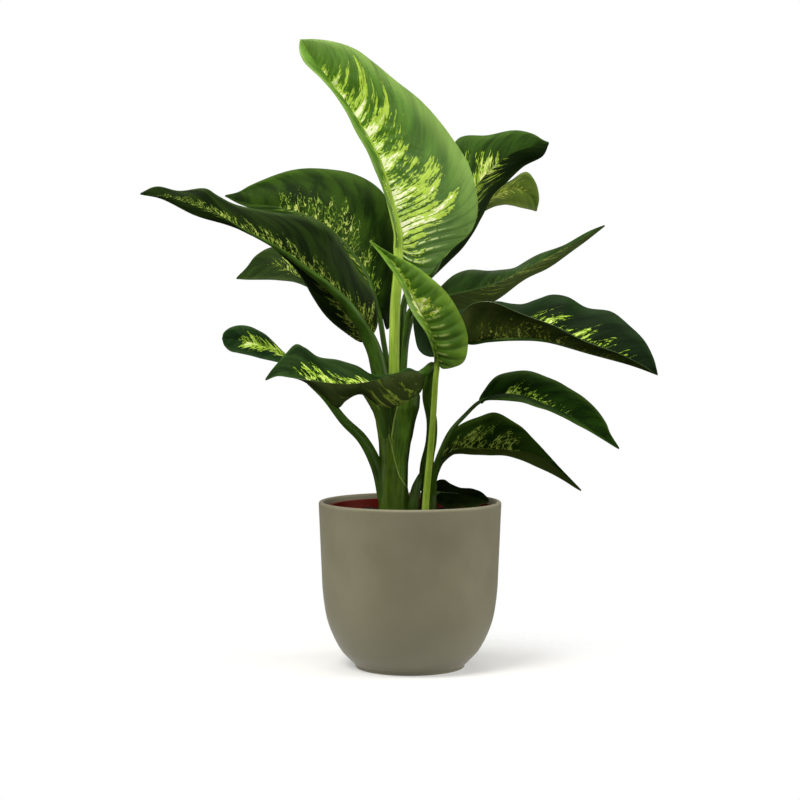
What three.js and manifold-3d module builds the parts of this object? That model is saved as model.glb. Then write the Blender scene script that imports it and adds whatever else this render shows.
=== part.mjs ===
// A potted dieffenbachia: a thick sheathed cane with eight large leaves, a side shoot with four
// more and one leaf on a stem of its own, in soil in a plastic nursery pot that stands in a
// stoneware cachepot. Millimetres, +Z up, origin at the centre of the cachepot's underside.

import * as THREE from 'three';
import { mergeVertices } from 'three/addons/utils/BufferGeometryUtils.js';
import Module from 'manifold-3d';

const wasm = await Module();
wasm.setup();

// Driving dimensions
const CLEARANCE = 0.3;
const POT_RADIUS = 95;
const POT_HEIGHT = 173;
const POT_WALL = 5;
const POT_FLOOR = 10;
const FOOT_RADIUS = 57;
const FOOT_HEIGHT = 2.5;
const FOOT_EDGE = 1;
const POT_SEGMENTS = 40;
const LIP_STEPS = 4;
const WALL_STEPS = 9;
const CAVITY_STEPS = 6;
const CAVITY_CORNER = 5;

// The outer wall below its straight upper part, as [radius, height] from the top down
const POT_WALL_LINE = [[91.3, 84], [89.6, 68], [86.6, 51], [81, 35], [72.5, 19], [63, 8.5],
  [59.5, 5]];

const NURSERY_TOP = 168;
const NURSERY_RIM_RADIUS = 86;
const NURSERY_TOP_RADIUS = 83;
const NURSERY_FOOT_RADIUS = 54;
const NURSERY_WALL = 1.4;
const NURSERY_RIM_DEPTH = 8;
const NURSERY_SEGMENTS = 36;
const DRAIN_HOLES = 5;
const DRAIN_RADIUS = 5;
const DRAIN_CIRCLE = 34;
const DRAIN_SIDES = 12;

const SOIL_EDGE = 156;
const SOIL_DOME = 7;
const SOIL_BUMP = 1.5;
const SOIL_RINGS = 5;
const STEM_DEPTH = 112;

const BLADE_THICKNESS = 1.4;
const BASE_HALF_WIDTH = 3;
const TIP_HALF_WIDTH = 0.7;
const ROW_CROWDING = 0.4;
const RIB_START_SHARE = 0.85;
const RIB_END = 0.7;
const RIB_END_RADIUS = 0.9;
const RIB_SINK = 0.5;
const RIB_SINK_FROM = 0.12;
const STALK_SIDES = 6;
const STALK_STEPS = 6;

// Places on the plant are written [across, up, depth]. Across and up are where the point is seen
// from the front, in mm in the plane through the pot's axis that the eye looks straight at; depth
// is the point's true distance behind the pot's axis.
const EYE = new THREE.Vector3(-10.4, -2024, 374);
const AIM = new THREE.Vector3(-10.4, 0, 278);
const SIGHT = AIM.clone().sub(EYE);
const RISE = new THREE.Vector3(1, 0, 0).cross(SIGHT).normalize();

function seen([across, up, depth]) {
  const ray = SIGHT.clone().addScaledVector(RISE, up - AIM.z);
  ray.x += across - AIM.x;
  return EYE.clone().addScaledVector(ray, (depth - EYE.y) / ray.y);
}

// Each leaf: its stalk from the root or cane to the blade, with its radius at both ends and the
// share of its length that is hidden in the cane; the midrib from base to tip; and the two edges
// of the blade, left and right as one looks from the base to the tip. A middle line, where there
// is one, is a line that the half blade passes through between the midrib and the edge. The lean
// is how much further back the tip lies than its depth says, and the rest of the blade in
// proportion. Rows and columns say how finely the blade and each half of it are divided.
const LEAVES = {
  leaf_a: {
    parent: 'cane', seat: 0.4, radius: [5.9, 5.2],
    rows: 14, columns: 3, lean: 35, camber: 0.06, waves: [2.5, 1.2],
    stalk: [[-14, 200, 0], [-15, 255, 0], [-16.5, 303, 2], [-15.5, 372, 2]],
    rib: [[-12, 430, 2], [-20, 478, 6], [-34, 527, 10], [-55, 567, 12], [-80, 604, 12],
      [-104, 637, 8], [-114, 652, 4]],
    left: [[-15, 450, -14], [-26, 490, -30], [-41.5, 531, -38], [-60, 563, -36],
      [-73.5, 588, -30], [-90.5, 611, -20], [-110, 629, -8], [-115, 641, 0]],
    right: [[-7, 415, -2], [5, 405, -3], [19, 407, -4], [32, 423, -5], [48, 438.5, -6],
      [61, 450, -7], [69, 467, -8], [70, 488, -8], [61, 522, -6], [43, 551, -6], [12, 588, -6],
      [-14, 609, -5], [-38, 629, -4], [-56, 642, -2], [-77, 649.5, 0], [-97, 652.5, 3]],
  },
  leaf_b: {
    parent: 'cane', seat: 0.58, radius: [9, 7.6],
    rows: 14, columns: 3, lean: -50, camber: 0.08, waves: [3, 2],
    stalk: [[-16, 205, -2], [-23, 255, -8], [-30, 300, -12], [-36, 325, -14]],
    rib: [[-42.5, 341, -16], [-67, 379, -24], [-108, 414, -34], [-142, 438, -40],
      [-170, 453, -44], [-203, 472, -48], [-239, 487, -50], [-280, 492, -50]],
    left: [[-51, 338, -14], [-68.5, 349, -14], [-86.5, 364.5, -16], [-102, 386, -20],
      [-119.5, 415.5, -28], [-143, 439, -36], [-167, 449, -40], [-192, 460, -44],
      [-224, 470, -48], [-259, 487, -50]],
    right: [[-34, 356, -8], [-36, 386, -4], [-50, 407, -6], [-67, 433, -8], [-80, 453, -10],
      [-104, 467, -12], [-141, 473, -18], [-182, 480, -26], [-200, 490, -32], [-212, 497.5, -36],
      [-240, 495.5, -42], [-264, 499.5, -48]],
  },
  leaf_c: {
    parent: 'cane', seat: 0.42, radius: [3.2, 2.8],
    rows: 11, columns: 3, lean: 55, camber: 0.1, waves: [2, 2],
    stalk: [[-15, 215, 6], [-17.5, 262, 9], [-22, 305, 14], [-27.5, 339, 17]],
    rib: [[-32, 366, 22], [-45, 407, 30], [-68, 440, 36], [-93, 462, 40], [-130, 476, 42],
      [-176, 484, 40], [-192, 490, 38]],
    left: [[-40, 372, 20], [-58, 402, 24], [-80, 428, 28], [-103, 450, 32], [-130, 465, 36],
      [-157, 474, 38], [-178, 482, 38]],
    right: [[-24, 351, 28], [-15, 372, 36], [-13, 430, 46], [-20, 477.5, 54], [-42, 504, 58],
      [-83, 518, 60], [-124, 516.5, 56], [-164, 501.5, 48], [-179, 493.5, 42]],
  },
  leaf_d: {
    parent: 'cane', seat: 0.4, radius: [2.2, 2],
    rows: 8, columns: 2, lean: 50, camber: 0.08, waves: [2, 1],
    stalk: [[-17, 215, 4], [-28, 258, 5], [-37, 300, 6], [-44.5, 333, 10]],
    rib: [[-55, 351, 14], [-83, 377, 18], [-114, 404, 22], [-142, 419, 24], [-166, 414, 22],
      [-180, 404, 20]],
    left: [[-67, 359, 8], [-88.5, 384, 8], [-112, 398.5, 10], [-139, 402, 10], [-170, 403, 14]],
    right: [[-55, 369, 24], [-84, 410, 32], [-115, 433, 38], [-144.5, 436.5, 38], [-160, 428, 34],
      [-170, 415, 28]],
  },
  leaf_e: {
    parent: 'cane', seat: 0.24, radius: [8, 3],
    rows: 9, columns: 2, lean: -30, camber: 0.12, waves: [2, 1],
    stalk: [[-18, 160, 0], [-26, 182, -2], [-36, 213, -2], [-49.5, 237.5, 0], [-68.5, 256.5, 4],
      [-88, 281, 8]],
    rib: [[-108, 300, 10], [-128, 320, 8], [-152, 333, 4], [-180, 341, -4], [-195, 342, -10]],
    left: [[-112, 300, -4], [-132, 316, -8], [-157, 321.5, -12], [-178, 326.5, -14],
      [-187, 329, -13], [-193, 335, -12]],
    right: [[-106, 306, 18], [-128, 325, 22], [-152, 346.5, 18], [-172, 355.5, 8],
      [-187, 353, -2], [-194, 347, -8]],
  },
  leaf_f: {
    parent: 'side_shoot', seat: 0.3, radius: [6.4, 4.6],
    rows: 15, columns: 3, lean: -35, camber: 0.08, waves: [2, 1],
    stalk: [[19, 185, 4], [17.5, 210, 2], [22, 236, -2], [22.5, 257, -7], [18, 281, -15],
      [19.5, 299, -26], [23.5, 313, -35]],
    rib: [[14.5, 306.5, -42], [1, 300, -46], [-26, 287, -50], [-52, 291, -50], [-80, 292, -46],
      [-104, 300, -42], [-128, 308.5, -42], [-150, 299, -46]],
    left: [[9, 306.5, -50], [-2, 307.5, -55], [-16, 304, -62], [-41, 298, -66], [-73, 295, -66],
      [-100, 297, -62], [-124, 301.5, -56], [-138, 303, -50]],
    leftMiddle: [[14.5, 297, -45], [10.5, 286, -50], [-2, 277.5, -54], [-18, 271, -56],
      [-30, 272, -58], [-51, 284.5, -58], [-66, 278, -58], [-75, 270, -56], [-90, 282, -54],
      [-114, 300, -48], [-132, 305, -48]],
    right: [[7, 308, -36], [-2, 311, -32], [-14, 306, -28], [-39, 305, -27], [-56, 314, -24],
      [-73, 319, -20], [-97, 323, -16], [-110, 332, -14], [-118, 336, -16], [-130, 325, -24],
      [-142, 311, -34]],
  },
  leaf_g: {
    parent: 'soil', seat: 0, radius: [4, 2.8],
    rows: 12, columns: 2, lean: -20, camber: 0.08, waves: [2, 1.5],
    stalk: [[14.5, STEM_DEPTH, -24], [16, 166, -28], [18.3, 195, -32], [20.5, 218, -36],
      [23.2, 250, -42], [25.3, 280, -47], [26.6, 300, -51]],
    rib: [[28, 316, -54], [23, 343, -60], [11, 368, -64], [-2, 393, -66], [-18, 420, -68],
      [-42, 443, -70]],
    left: [[25, 322, -66], [17, 345, -76], [3, 370, -82], [-10, 396, -84], [-22, 416, -80],
      [-32, 431, -74]],
    right: [[33, 311, -54], [45, 312, -56], [56, 318, -58], [60, 336, -60], [56, 358, -62],
      [40, 387, -64], [24, 403, -66], [2, 419, -68], [-18, 429, -70]],
  },
  leaf_h: {
    parent: 'cane', seat: 0.42, radius: [3.8, 3.4],
    rows: 11, columns: 3, lean: 60, camber: 0.1, waves: [2.5, 2],
    stalk: [[-13, 210, 8], [-12, 262, 12], [-11, 305, 17], [-8.5, 352, 21], [-4, 386, 26],
      [7, 401, 30]],
    rib: [[22, 408, 32], [47, 459, 42], [73, 505, 50], [104, 533, 54], [144, 545, 52]],
    left: [[20, 424, 34], [31, 470, 40], [38, 520, 44], [50, 549, 46], [80, 553, 48],
      [109, 558, 50], [128, 554, 50], [138, 548, 51]],
    right: [[31, 413, 44], [57, 438, 58], [72, 465.5, 68], [86, 488.5, 72], [101, 504, 72],
      [117, 520.5, 68], [138, 531.5, 57]],
  },
  leaf_i: {
    parent: 'cane', seat: 0.4, radius: [2.4, 2],
    rows: 8, columns: 2, lean: 20, camber: 0.1, waves: [2, 1],
    stalk: [[-12, 215, 8], [-9, 262, 14], [-6, 302, 22], [-2, 345, 34], [10, 385, 54],
      [30, 422, 82], [48, 445, 106]],
    rib: [[64, 466, 122], [88, 489, 130], [111, 497, 134], [125, 489, 134], [131, 474, 130]],
    left: [[66, 476, 132], [86, 498, 140], [104, 506, 144], [121, 514, 144], [130, 504, 140],
      [134, 488, 134]],
    right: [[76, 473, 118], [88, 479.5, 116], [109, 479, 118], [123, 476, 124]],
  },
  leaf_j: {
    parent: 'cane', seat: 0.4, radius: [3, 2.6],
    rows: 10, columns: 2, lean: 45, camber: 0.08, waves: [2.5, 1.5],
    stalk: [[-12, 215, 4], [-9, 262, 6], [-8, 303, 8], [-7, 345, 8], [-5, 380, 12],
      [10, 390, 16]],
    rib: [[24, 385, 22], [50, 389, 30], [86, 398, 38], [120, 414, 44], [160, 435, 50],
      [202, 459, 52]],
    left: [[30, 394, 34], [48, 408.5, 50], [66, 414, 60], [90, 413, 66], [109, 414, 66],
      [135, 430, 62], [161, 440, 58], [188, 454, 54]],
    right: [[32, 373, 20], [58, 370, 24], [88, 380.5, 30], [123, 405, 36], [146, 417, 40],
      [178, 439, 48]],
  },
  leaf_k: {
    parent: 'cane', seat: 0.4, radius: [3.4, 3.2],
    rows: 15, columns: 3, lean: -50, camber: 0.06, waves: [3, 1.5],
    stalk: [[-11, 210, -2], [-8.5, 262, -4], [-7, 303, -6], [-4.5, 345, -6], [1, 371, -8],
      [12, 375, -12]],
    rib: [[23, 361, -18], [44, 346, -24], [62, 338.5, -26], [80, 340.5, -28], [109, 342, -30],
      [140, 340, -30], [187, 326.5, -28], [233, 313, -26], [257, 304, -24]],
    left: [[26, 368, -6], [52, 371, 2], [76, 377, 6], [90, 381, 8], [105, 379.5, 9],
      [118, 378.5, 10], [133, 382, 10], [147, 386, 10], [163, 384, 8], [182, 375.5, 6],
      [209, 370, 0], [228.5, 354, -8], [244, 338.5, -16], [253, 321, -22]],
    right: [[12, 373, -32], [4, 365, -35], [5, 345, -38], [9, 331, -41], [16, 325, -42],
      [26, 324, -43], [42, 342, -46], [60, 374, -50], [83, 381, -54], [109, 372, -56],
      [140, 358, -56], [176, 341, -52], [218, 326.5, -44], [247, 310.5, -30]],
  },
  leaf_m: {
    parent: 'side_shoot', seat: 0.22, radius: [3.2, 1.9],
    rows: 10, columns: 2, lean: -45, camber: 0.12, waves: [2.5, 0.8],
    stalk: [[21, 176, 2], [25, 204, -8], [32, 224.5, -12], [42, 245, -12], [57, 262, -8]],
    rib: [[73, 276.5, -2], [90, 282.5, 2], [112, 283, 4], [132, 276, 3], [152, 266.5, -1],
      [182, 250, -7], [217, 227.5, -12]],
    left: [[75, 285, 10], [88, 301, 22], [102, 306.5, 28], [120, 309, 30], [146, 300, 26],
      [185, 277, 14], [203, 255, 2], [208, 243, -6]],
    right: [[80, 277.5, -14], [109, 277, -24], [130, 270.5, -28], [152, 264, -30],
      [176, 251, -30], [205, 234, -20]],
  },
  leaf_n: {
    parent: 'side_shoot', seat: 0.35, radius: [3.4, 3],
    rows: 10, columns: 2, lean: 15, camber: 0.12, waves: [2.5, 0.8],
    stalk: [[21, 172, 6], [23, 190, 8]],
    rib: [[29, 208, 8], [39, 221, 9], [55, 227.5, 8], [80, 226, 6], [106, 224, 4], [128, 222, 2],
      [143, 214, 0], [159, 200.5, -4], [177.5, 184, -8]],
    left: [[33, 228, 20], [47, 249, 30], [71, 260.5, 36], [88, 264.5, 36], [112, 252.5, 30],
      [127.5, 238, 22], [156, 206.5, 4]],
    right: [[32.5, 215, 4], [41, 220.5, -2], [52, 222.5, -8], [66, 221.5, -14], [80, 220.5, -20],
      [104, 219, -24], [124, 212.5, -24], [151, 199, -18]],
  },
  leaf_o: {
    parent: 'side_shoot', seat: 0.35, radius: [2.6, 2.2],
    rows: 7, columns: 2, lean: 0, camber: 0.08, waves: [2, 0.6],
    stalk: [[20, 166, 8], [22, 176, 14]],
    rib: [[27, 181, 18], [44, 181, 22], [58, 179, 22], [71, 175.5, 18], [82, 172.5, 8]],
    left: [[28, 194, 34], [35, 195, 38], [42, 191, 42], [50, 188, 45], [64, 186, 44],
      [75, 181, 36], [81, 176, 20]],
    right: [[28, 172, 8], [37, 167, 0], [49, 166, -4], [63, 166.5, -4], [75, 170, 0]],
  },
};

// Stems written [across, up, depth, radius], from below the soil upwards
const CANE = [[-15, STEM_DEPTH, 0, 14], [-16, 150, 0, 14.8], [-16.8, 180, 0, 14],
  [-16.2, 212, 0, 13.8], [-15.4, 234, 1, 15.4], [-14.5, 256, 4, 18.6], [-13, 270, 6, 21.2],
  [-12, 282, 8, 21], [-12, 292, 8, 17]];
const SIDE_SHOOT = [[18, STEM_DEPTH, 4, 8], [18.5, 160, 4, 9.5], [19.5, 180, 4, 8.5],
  [20.5, 200, 2, 6]];
const SHOOT_BRACT = [[2, 150, -6, 5], [3, 168, -9, 6], [7, 188, -7, 5], [15, 209, 0, 1.2]];
const SHEATH_SWELL = 1.18;
const SHEATH_STEPS = 6;
const SHEATH_SIDES = 8;
const STEM_SIDES = 14;
const BRACT_SIDES = 9;

// Materials
const stoneware = new THREE.MeshStandardMaterial({ color: 0x85816c, roughness: 0.6 });
const plastic = new THREE.MeshStandardMaterial({ color: 0x4a0d05, roughness: 0.5 });
const earth = new THREE.MeshStandardMaterial({ color: 0x1d1610, roughness: 1 });
const caneGreen = new THREE.MeshStandardMaterial({ color: 0x3d5c1c, roughness: 0.5 });
const brightLeaf = new THREE.MeshStandardMaterial({ color: 0x6d9a3c, roughness: 0.45 });
const darkLeaf = new THREE.MeshStandardMaterial({ color: 0x2c4a22, roughness: 0.45 });

// Solids and meshes
function solidOf(positions, triangles) {
  const vertProperties = new Float32Array(positions.flatMap((p) => [p.x, p.y, p.z]));
  const triVerts = new Uint32Array(triangles.flat());
  return new wasm.Manifold(new wasm.Mesh({ numProp: 3, vertProperties, triVerts }));
}

function solidOfGeometry(geometry) {
  const bare = geometry.clone();
  bare.deleteAttribute('normal');
  bare.deleteAttribute('uv');
  const merged = mergeVertices(bare, 1e-4);
  const vertProperties = new Float32Array(merged.attributes.position.array);
  const triVerts = new Uint32Array(merged.index.array);
  return new wasm.Manifold(new wasm.Mesh({ numProp: 3, vertProperties, triVerts }));
}

function meshOf(name, solid, material) {
  const mesh = solid.getMesh();
  const geometry = new THREE.BufferGeometry();
  geometry.setAttribute('position', new THREE.BufferAttribute(mesh.vertProperties, 3));
  geometry.setIndex(new THREE.BufferAttribute(mesh.triVerts, 1));
  geometry.computeVertexNormals();
  const named = new THREE.Mesh(geometry, material);
  named.name = name;
  return named;
}

// A solid of revolution about Z from [radius, height] points that start and end on the axis
function turned(profile, segments) {
  const points = profile.map(([radius, height]) => new THREE.Vector2(radius, height));
  return new THREE.LatheGeometry(points, segments).rotateX(Math.PI / 2);
}

// A closed tube through the given centres with a radius at each
function tube(centres, radii, sides) {
  const positions = [];
  const triangles = [];
  const last = centres.length - 1;
  const axisAt = (i) => {
    const ahead = centres[Math.min(i + 1, last)];
    return ahead.clone().sub(centres[Math.max(i - 1, 0)]).normalize();
  };
  let normal = new THREE.Vector3(0, -1, 0);
  for (let i = 0; i <= last; i += 1) {
    const axis = axisAt(i);
    normal = normal.clone().addScaledVector(axis, -normal.dot(axis)).normalize();
    const binormal = new THREE.Vector3().crossVectors(axis, normal);
    for (let j = 0; j < sides; j += 1) {
      const angle = (2 * Math.PI * j) / sides;
      const out = normal.clone().multiplyScalar(Math.cos(angle));
      out.addScaledVector(binormal, Math.sin(angle));
      positions.push(centres[i].clone().addScaledVector(out, radii[i]));
    }
  }
  for (let i = 0; i < last; i += 1) {
    for (let j = 0; j < sides; j += 1) {
      const a = i * sides + j;
      const b = i * sides + ((j + 1) % sides);
      triangles.push([a, b, b + sides], [a, b + sides, a + sides]);
    }
  }
  const top = last * sides;
  for (let j = 1; j < sides - 1; j += 1) {
    triangles.push([0, j + 1, j], [top, top + j, top + j + 1]);
  }
  return solidOf(positions, triangles);
}

function smooth(points) {
  const curve = new THREE.CatmullRomCurve3(points, false, 'centripetal');
  curve.arcLengthDivisions = 400;
  return curve;
}

// The leaf's points in their true places, with the blade's lean
function placed(leaf) {
  const [base] = leaf.rib;
  const tip = leaf.rib[leaf.rib.length - 1];
  const reach = Math.hypot(tip[0] - base[0], tip[1] - base[1]);
  const leaned = (points) => points && points.map(([across, up, depth]) => {
    const share = Math.hypot(across - base[0], up - base[1]) / reach;
    return seen([across, up, depth + leaf.lean * share]);
  });
  return {
    stalk: leaf.stalk.map(seen),
    rib: leaned(leaf.rib),
    left: leaned(leaf.left),
    right: leaned(leaf.right),
    leftMiddle: leaned(leaf.leftMiddle),
    rightMiddle: leaned(leaf.rightMiddle),
  };
}

// The line of a leaf from the foot of its stalk to its tip, and where on it the blade starts
function spineOf(leaf) {
  const { stalk, rib } = placed(leaf);
  const curve = smooth([...stalk, ...rib]);
  const lengths = curve.getLengths();
  const knot = Math.round(((lengths.length - 1) * stalk.length) / (stalk.length + rib.length - 1));
  return { curve, base: lengths[knot] / lengths[lengths.length - 1] };
}

// The blade's middle surface: along runs 0..1 from base to tip, across -1..1 from the left
// edge over the midrib to the right edge
function surfaceOf(leaf) {
  const { curve, base } = spineOf(leaf);
  const points = placed(leaf);
  const ribAt = (t) => curve.getPointAt(base + (1 - base) * t);
  const tangentAt = (t) => curve.getTangentAt(base + (1 - base) * t);
  const lineOf = (inner, side, share) => {
    const endAt = (t, width) => {
      const sideways = tangentAt(t).cross(new THREE.Vector3(0, -1, 0)).normalize();
      return ribAt(t).addScaledVector(sideways, side * width * share);
    };
    return smooth([endAt(0, BASE_HALF_WIDTH), ...inner, endAt(1, TIP_HALF_WIDTH)]);
  };
  const halves = [[-1, points.left, points.leftMiddle], [1, points.right, points.rightMiddle]];
  const [left, right] = halves.map(([side, edge, middle]) => ({
    side,
    edge: lineOf(edge, side, 1),
    middle: middle ? lineOf(middle, side, 0.5) : null,
  }));
  const [waveCount, waveHeight] = leaf.waves;
  return (along, across) => {
    const t = Math.min(Math.max(along, 0), 1);
    const s = Math.min(Math.max(across, -1), 1);
    const half = s < 0 ? left : right;
    const a = Math.abs(s);
    const rib = ribAt(t);
    const edge = half.edge.getPointAt(t);
    const outward = edge.clone().sub(rib);
    const up = outward.clone().multiplyScalar(half.side).cross(tangentAt(t)).normalize();
    let middle = rib.clone().add(edge).multiplyScalar(0.5);
    middle.addScaledVector(up, leaf.camber * outward.length());
    if (half.middle) middle = half.middle.getPointAt(t);
    const point = rib.multiplyScalar((1 - a) * (1 - 2 * a));
    point.addScaledVector(middle, 4 * a * (1 - a)).addScaledVector(edge, a * (2 * a - 1));
    const swing = Math.sin(2 * Math.PI * waveCount * t + half.side) * Math.sin(Math.PI * t);
    return point.addScaledVector(up, waveHeight * swing * a * a);
  };
}

function normalOf(surface, along, across) {
  const stepAlong = 0.02;
  const stepAcross = 0.08;
  const run = surface(along + stepAlong, across).sub(surface(along - stepAlong, across));
  const width = surface(along, across + stepAcross).sub(surface(along, across - stepAcross));
  return width.cross(run).normalize();
}

// Rows lie closer together towards the base and the tip
function rowPlace(share) {
  return share - (ROW_CROWDING * Math.sin(2 * Math.PI * share)) / (2 * Math.PI);
}

function bladeSolid(leaf) {
  const surface = surfaceOf(leaf);
  const rows = leaf.rows;
  const columns = 2 * leaf.columns;
  const width = columns + 1;
  const faceSize = width * (rows + 1);
  const upper = [];
  const lower = [];
  for (let i = 0; i <= rows; i += 1) {
    for (let j = 0; j <= columns; j += 1) {
      const along = rowPlace(i / rows);
      const across = j / leaf.columns - 1;
      const centre = surface(along, across);
      const normal = normalOf(surface, along, across);
      upper.push(centre.clone().addScaledVector(normal, BLADE_THICKNESS / 2));
      lower.push(centre.clone().addScaledVector(normal, -BLADE_THICKNESS / 2));
    }
  }
  const triangles = [];
  for (let i = 0; i < rows; i += 1) {
    for (let j = 0; j < columns; j += 1) {
      const a = i * width + j;
      const c = a + width + 1;
      triangles.push([a, a + 1, c], [a, c, c - 1]);
      triangles.push([a + faceSize, c + faceSize, a + 1 + faceSize]);
      triangles.push([a + faceSize, c - 1 + faceSize, c + faceSize]);
    }
  }
  const rim = [];
  for (let j = 0; j < columns; j += 1) rim.push(j);
  for (let i = 0; i < rows; i += 1) rim.push(i * width + columns);
  for (let j = columns; j > 0; j -= 1) rim.push(rows * width + j);
  for (let i = rows; i > 0; i -= 1) rim.push(i * width);
  rim.forEach((p, k) => {
    const q = rim[(k + 1) % rim.length];
    triangles.push([p + faceSize, q + faceSize, q], [p + faceSize, q, p]);
  });
  return solidOf([...upper, ...lower], triangles);
}

// The free part of the stalk and the midrib under the blade, as one tapering tube. Its rings lie
// between the rows of the blade, so that no two of their edges run along each other.
function stalkSolid(leaf, grow = 0) {
  const { curve, base } = spineOf(leaf);
  const surface = surfaceOf(leaf);
  const [low, high] = leaf.radius;
  const start = base * leaf.seat + CLEARANCE / curve.getLength();
  const centres = [];
  const radii = [];
  for (let i = 0; i <= STALK_STEPS; i += 1) {
    const share = i / (STALK_STEPS + 0.5);
    centres.push(curve.getPointAt(start + (base - start) * share));
    radii.push(low + (high - low) * share + grow);
  }
  const ribSteps = Math.round(leaf.rows * RIB_END);
  const ribRadius = high * RIB_START_SHARE;
  for (let i = 1; i <= ribSteps; i += 1) {
    const t = rowPlace((i - 0.5) / leaf.rows);
    const radius = ribRadius + (RIB_END_RADIUS - ribRadius) * Math.sqrt(i / ribSteps);
    const sink = Math.min(t / RIB_SINK_FROM, 1) * radius * RIB_SINK;
    const centre = surface(t, 0).addScaledVector(normalOf(surface, t, 0), -sink);
    centres.push(centre);
    radii.push(radius + grow);
  }
  return tube(centres, radii, STALK_SIDES);
}

// The sheath: the foot of a stalk, which is one with the stem that it grows from
function sheathSolid(leaf, grow) {
  const { curve, base } = spineOf(leaf);
  const end = base * leaf.seat + grow / curve.getLength();
  const centres = [];
  const radii = [];
  for (let i = 0; i <= SHEATH_STEPS; i += 1) {
    centres.push(curve.getPointAt((end * i) / SHEATH_STEPS));
    radii.push(leaf.radius[0] * SHEATH_SWELL + grow);
  }
  return tube(centres, radii, SHEATH_SIDES);
}

function stemSolid(stem, parent, grow) {
  const centres = stem.map(seen);
  const radii = stem.map((point) => point[3] + grow);
  if (grow > 0) centres[0].z -= grow;
  let solid = tube(centres, radii, STEM_SIDES);
  for (const leaf of Object.values(LEAVES)) {
    if (leaf.parent === parent) solid = solid.add(sheathSolid(leaf, grow));
  }
  return solid;
}

function shootSolid(grow) {
  const radii = SHOOT_BRACT.map((point) => point[3] + grow);
  const bract = tube(SHOOT_BRACT.map(seen), radii, BRACT_SIDES);
  return stemSolid(SIDE_SHOOT, 'side_shoot', grow).add(bract);
}

// The cachepot: straight tapered wall, rounded in to a small foot, with a rounded lip
function cachepotSolid() {
  const outside = new THREE.SplineCurve(POT_WALL_LINE.map(([r, z]) => new THREE.Vector2(r, z)));
  const outer = outside.getSpacedPoints(WALL_STEPS).map((p) => [p.x, p.y]).reverse();
  const lip = [];
  const lipRadius = POT_WALL / 2;
  for (let i = 0; i <= LIP_STEPS; i += 1) {
    const angle = (Math.PI * i) / LIP_STEPS;
    const radius = POT_RADIUS - lipRadius + lipRadius * Math.cos(angle);
    lip.push([radius, POT_HEIGHT - lipRadius + lipRadius * Math.sin(angle)]);
  }
  const inner = outside.getSpacedPoints(CAVITY_STEPS).map((p, i) => {
    const tangent = outside.getTangentAt(i / CAVITY_STEPS);
    return [p.x + tangent.y * POT_WALL, p.y - tangent.x * POT_WALL];
  });
  const cavity = inner.filter(([, z]) => z > POT_FLOOR + CAVITY_CORNER / 2);
  const floorRadius = cavity[cavity.length - 1][0] - CAVITY_CORNER;
  const foot = [[0, 0], [FOOT_RADIUS - FOOT_EDGE, 0], [FOOT_RADIUS, FOOT_EDGE],
    [FOOT_RADIUS, FOOT_HEIGHT]];
  return solidOfGeometry(turned(
    [...foot, ...outer, ...lip, ...cavity, [floorRadius, POT_FLOOR], [0, POT_FLOOR]],
    POT_SEGMENTS,
  ));
}

// The nursery pot: thin tapered wall with a folded rim and drain holes in its floor
const nurseryFoot = POT_FLOOR + CLEARANCE;
const rimFoot = NURSERY_TOP - NURSERY_RIM_DEPTH;

function nurseryRadius(z) {
  const share = (z - nurseryFoot) / (NURSERY_TOP - nurseryFoot);
  return NURSERY_FOOT_RADIUS + (NURSERY_TOP_RADIUS - NURSERY_FOOT_RADIUS) * share;
}

function nurserySolid() {
  const floorTop = nurseryFoot + NURSERY_WALL;
  const profile = [[0, nurseryFoot], [NURSERY_FOOT_RADIUS, nurseryFoot],
    [nurseryRadius(rimFoot), rimFoot], [NURSERY_RIM_RADIUS, rimFoot],
    [NURSERY_RIM_RADIUS, NURSERY_TOP], [nurseryRadius(NURSERY_TOP) - NURSERY_WALL, NURSERY_TOP],
    [nurseryRadius(floorTop) - NURSERY_WALL, floorTop], [0, floorTop]];
  let pot = solidOfGeometry(turned(profile, NURSERY_SEGMENTS));
  for (let i = 0; i < DRAIN_HOLES; i += 1) {
    const angle = (2 * Math.PI * i) / DRAIN_HOLES;
    const depth = 6 * NURSERY_WALL;
    const hole = new THREE.CylinderGeometry(DRAIN_RADIUS, DRAIN_RADIUS, depth, DRAIN_SIDES);
    hole.rotateX(Math.PI / 2);
    hole.translate(DRAIN_CIRCLE * Math.cos(angle), DRAIN_CIRCLE * Math.sin(angle), nurseryFoot);
    pot = pot.subtract(solidOfGeometry(hole));
  }
  return pot;
}

// The soil fills the nursery pot and is domed and uneven on top
function soilSolid() {
  const floorTop = nurseryFoot + NURSERY_WALL + CLEARANCE;
  const radiusAt = (z) => nurseryRadius(z) - NURSERY_WALL - CLEARANCE;
  const edge = radiusAt(SOIL_EDGE);
  const profile = [[0, floorTop], [radiusAt(floorTop), floorTop]];
  for (let i = 0; i <= SOIL_RINGS; i += 1) {
    profile.push([edge * (1 - i / SOIL_RINGS), SOIL_EDGE]);
  }
  const geometry = turned(profile, NURSERY_SEGMENTS);
  const position = geometry.attributes.position;
  for (let i = 0; i < position.count; i += 1) {
    const x = position.getX(i);
    const y = position.getY(i);
    const inward = 1 - Math.hypot(x, y) / edge;
    const inside = inward > 0.5 / SOIL_RINGS;
    if (position.getZ(i) === SOIL_EDGE && inside) {
      const bump = Math.sin(0.11 * x + 1) * Math.cos(0.13 * y) + Math.sin(0.19 * (x + y));
      position.setZ(i, SOIL_EDGE + SOIL_DOME * Math.sqrt(inward) + SOIL_BUMP * bump);
    }
  }
  return solidOfGeometry(geometry);
}

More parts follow.
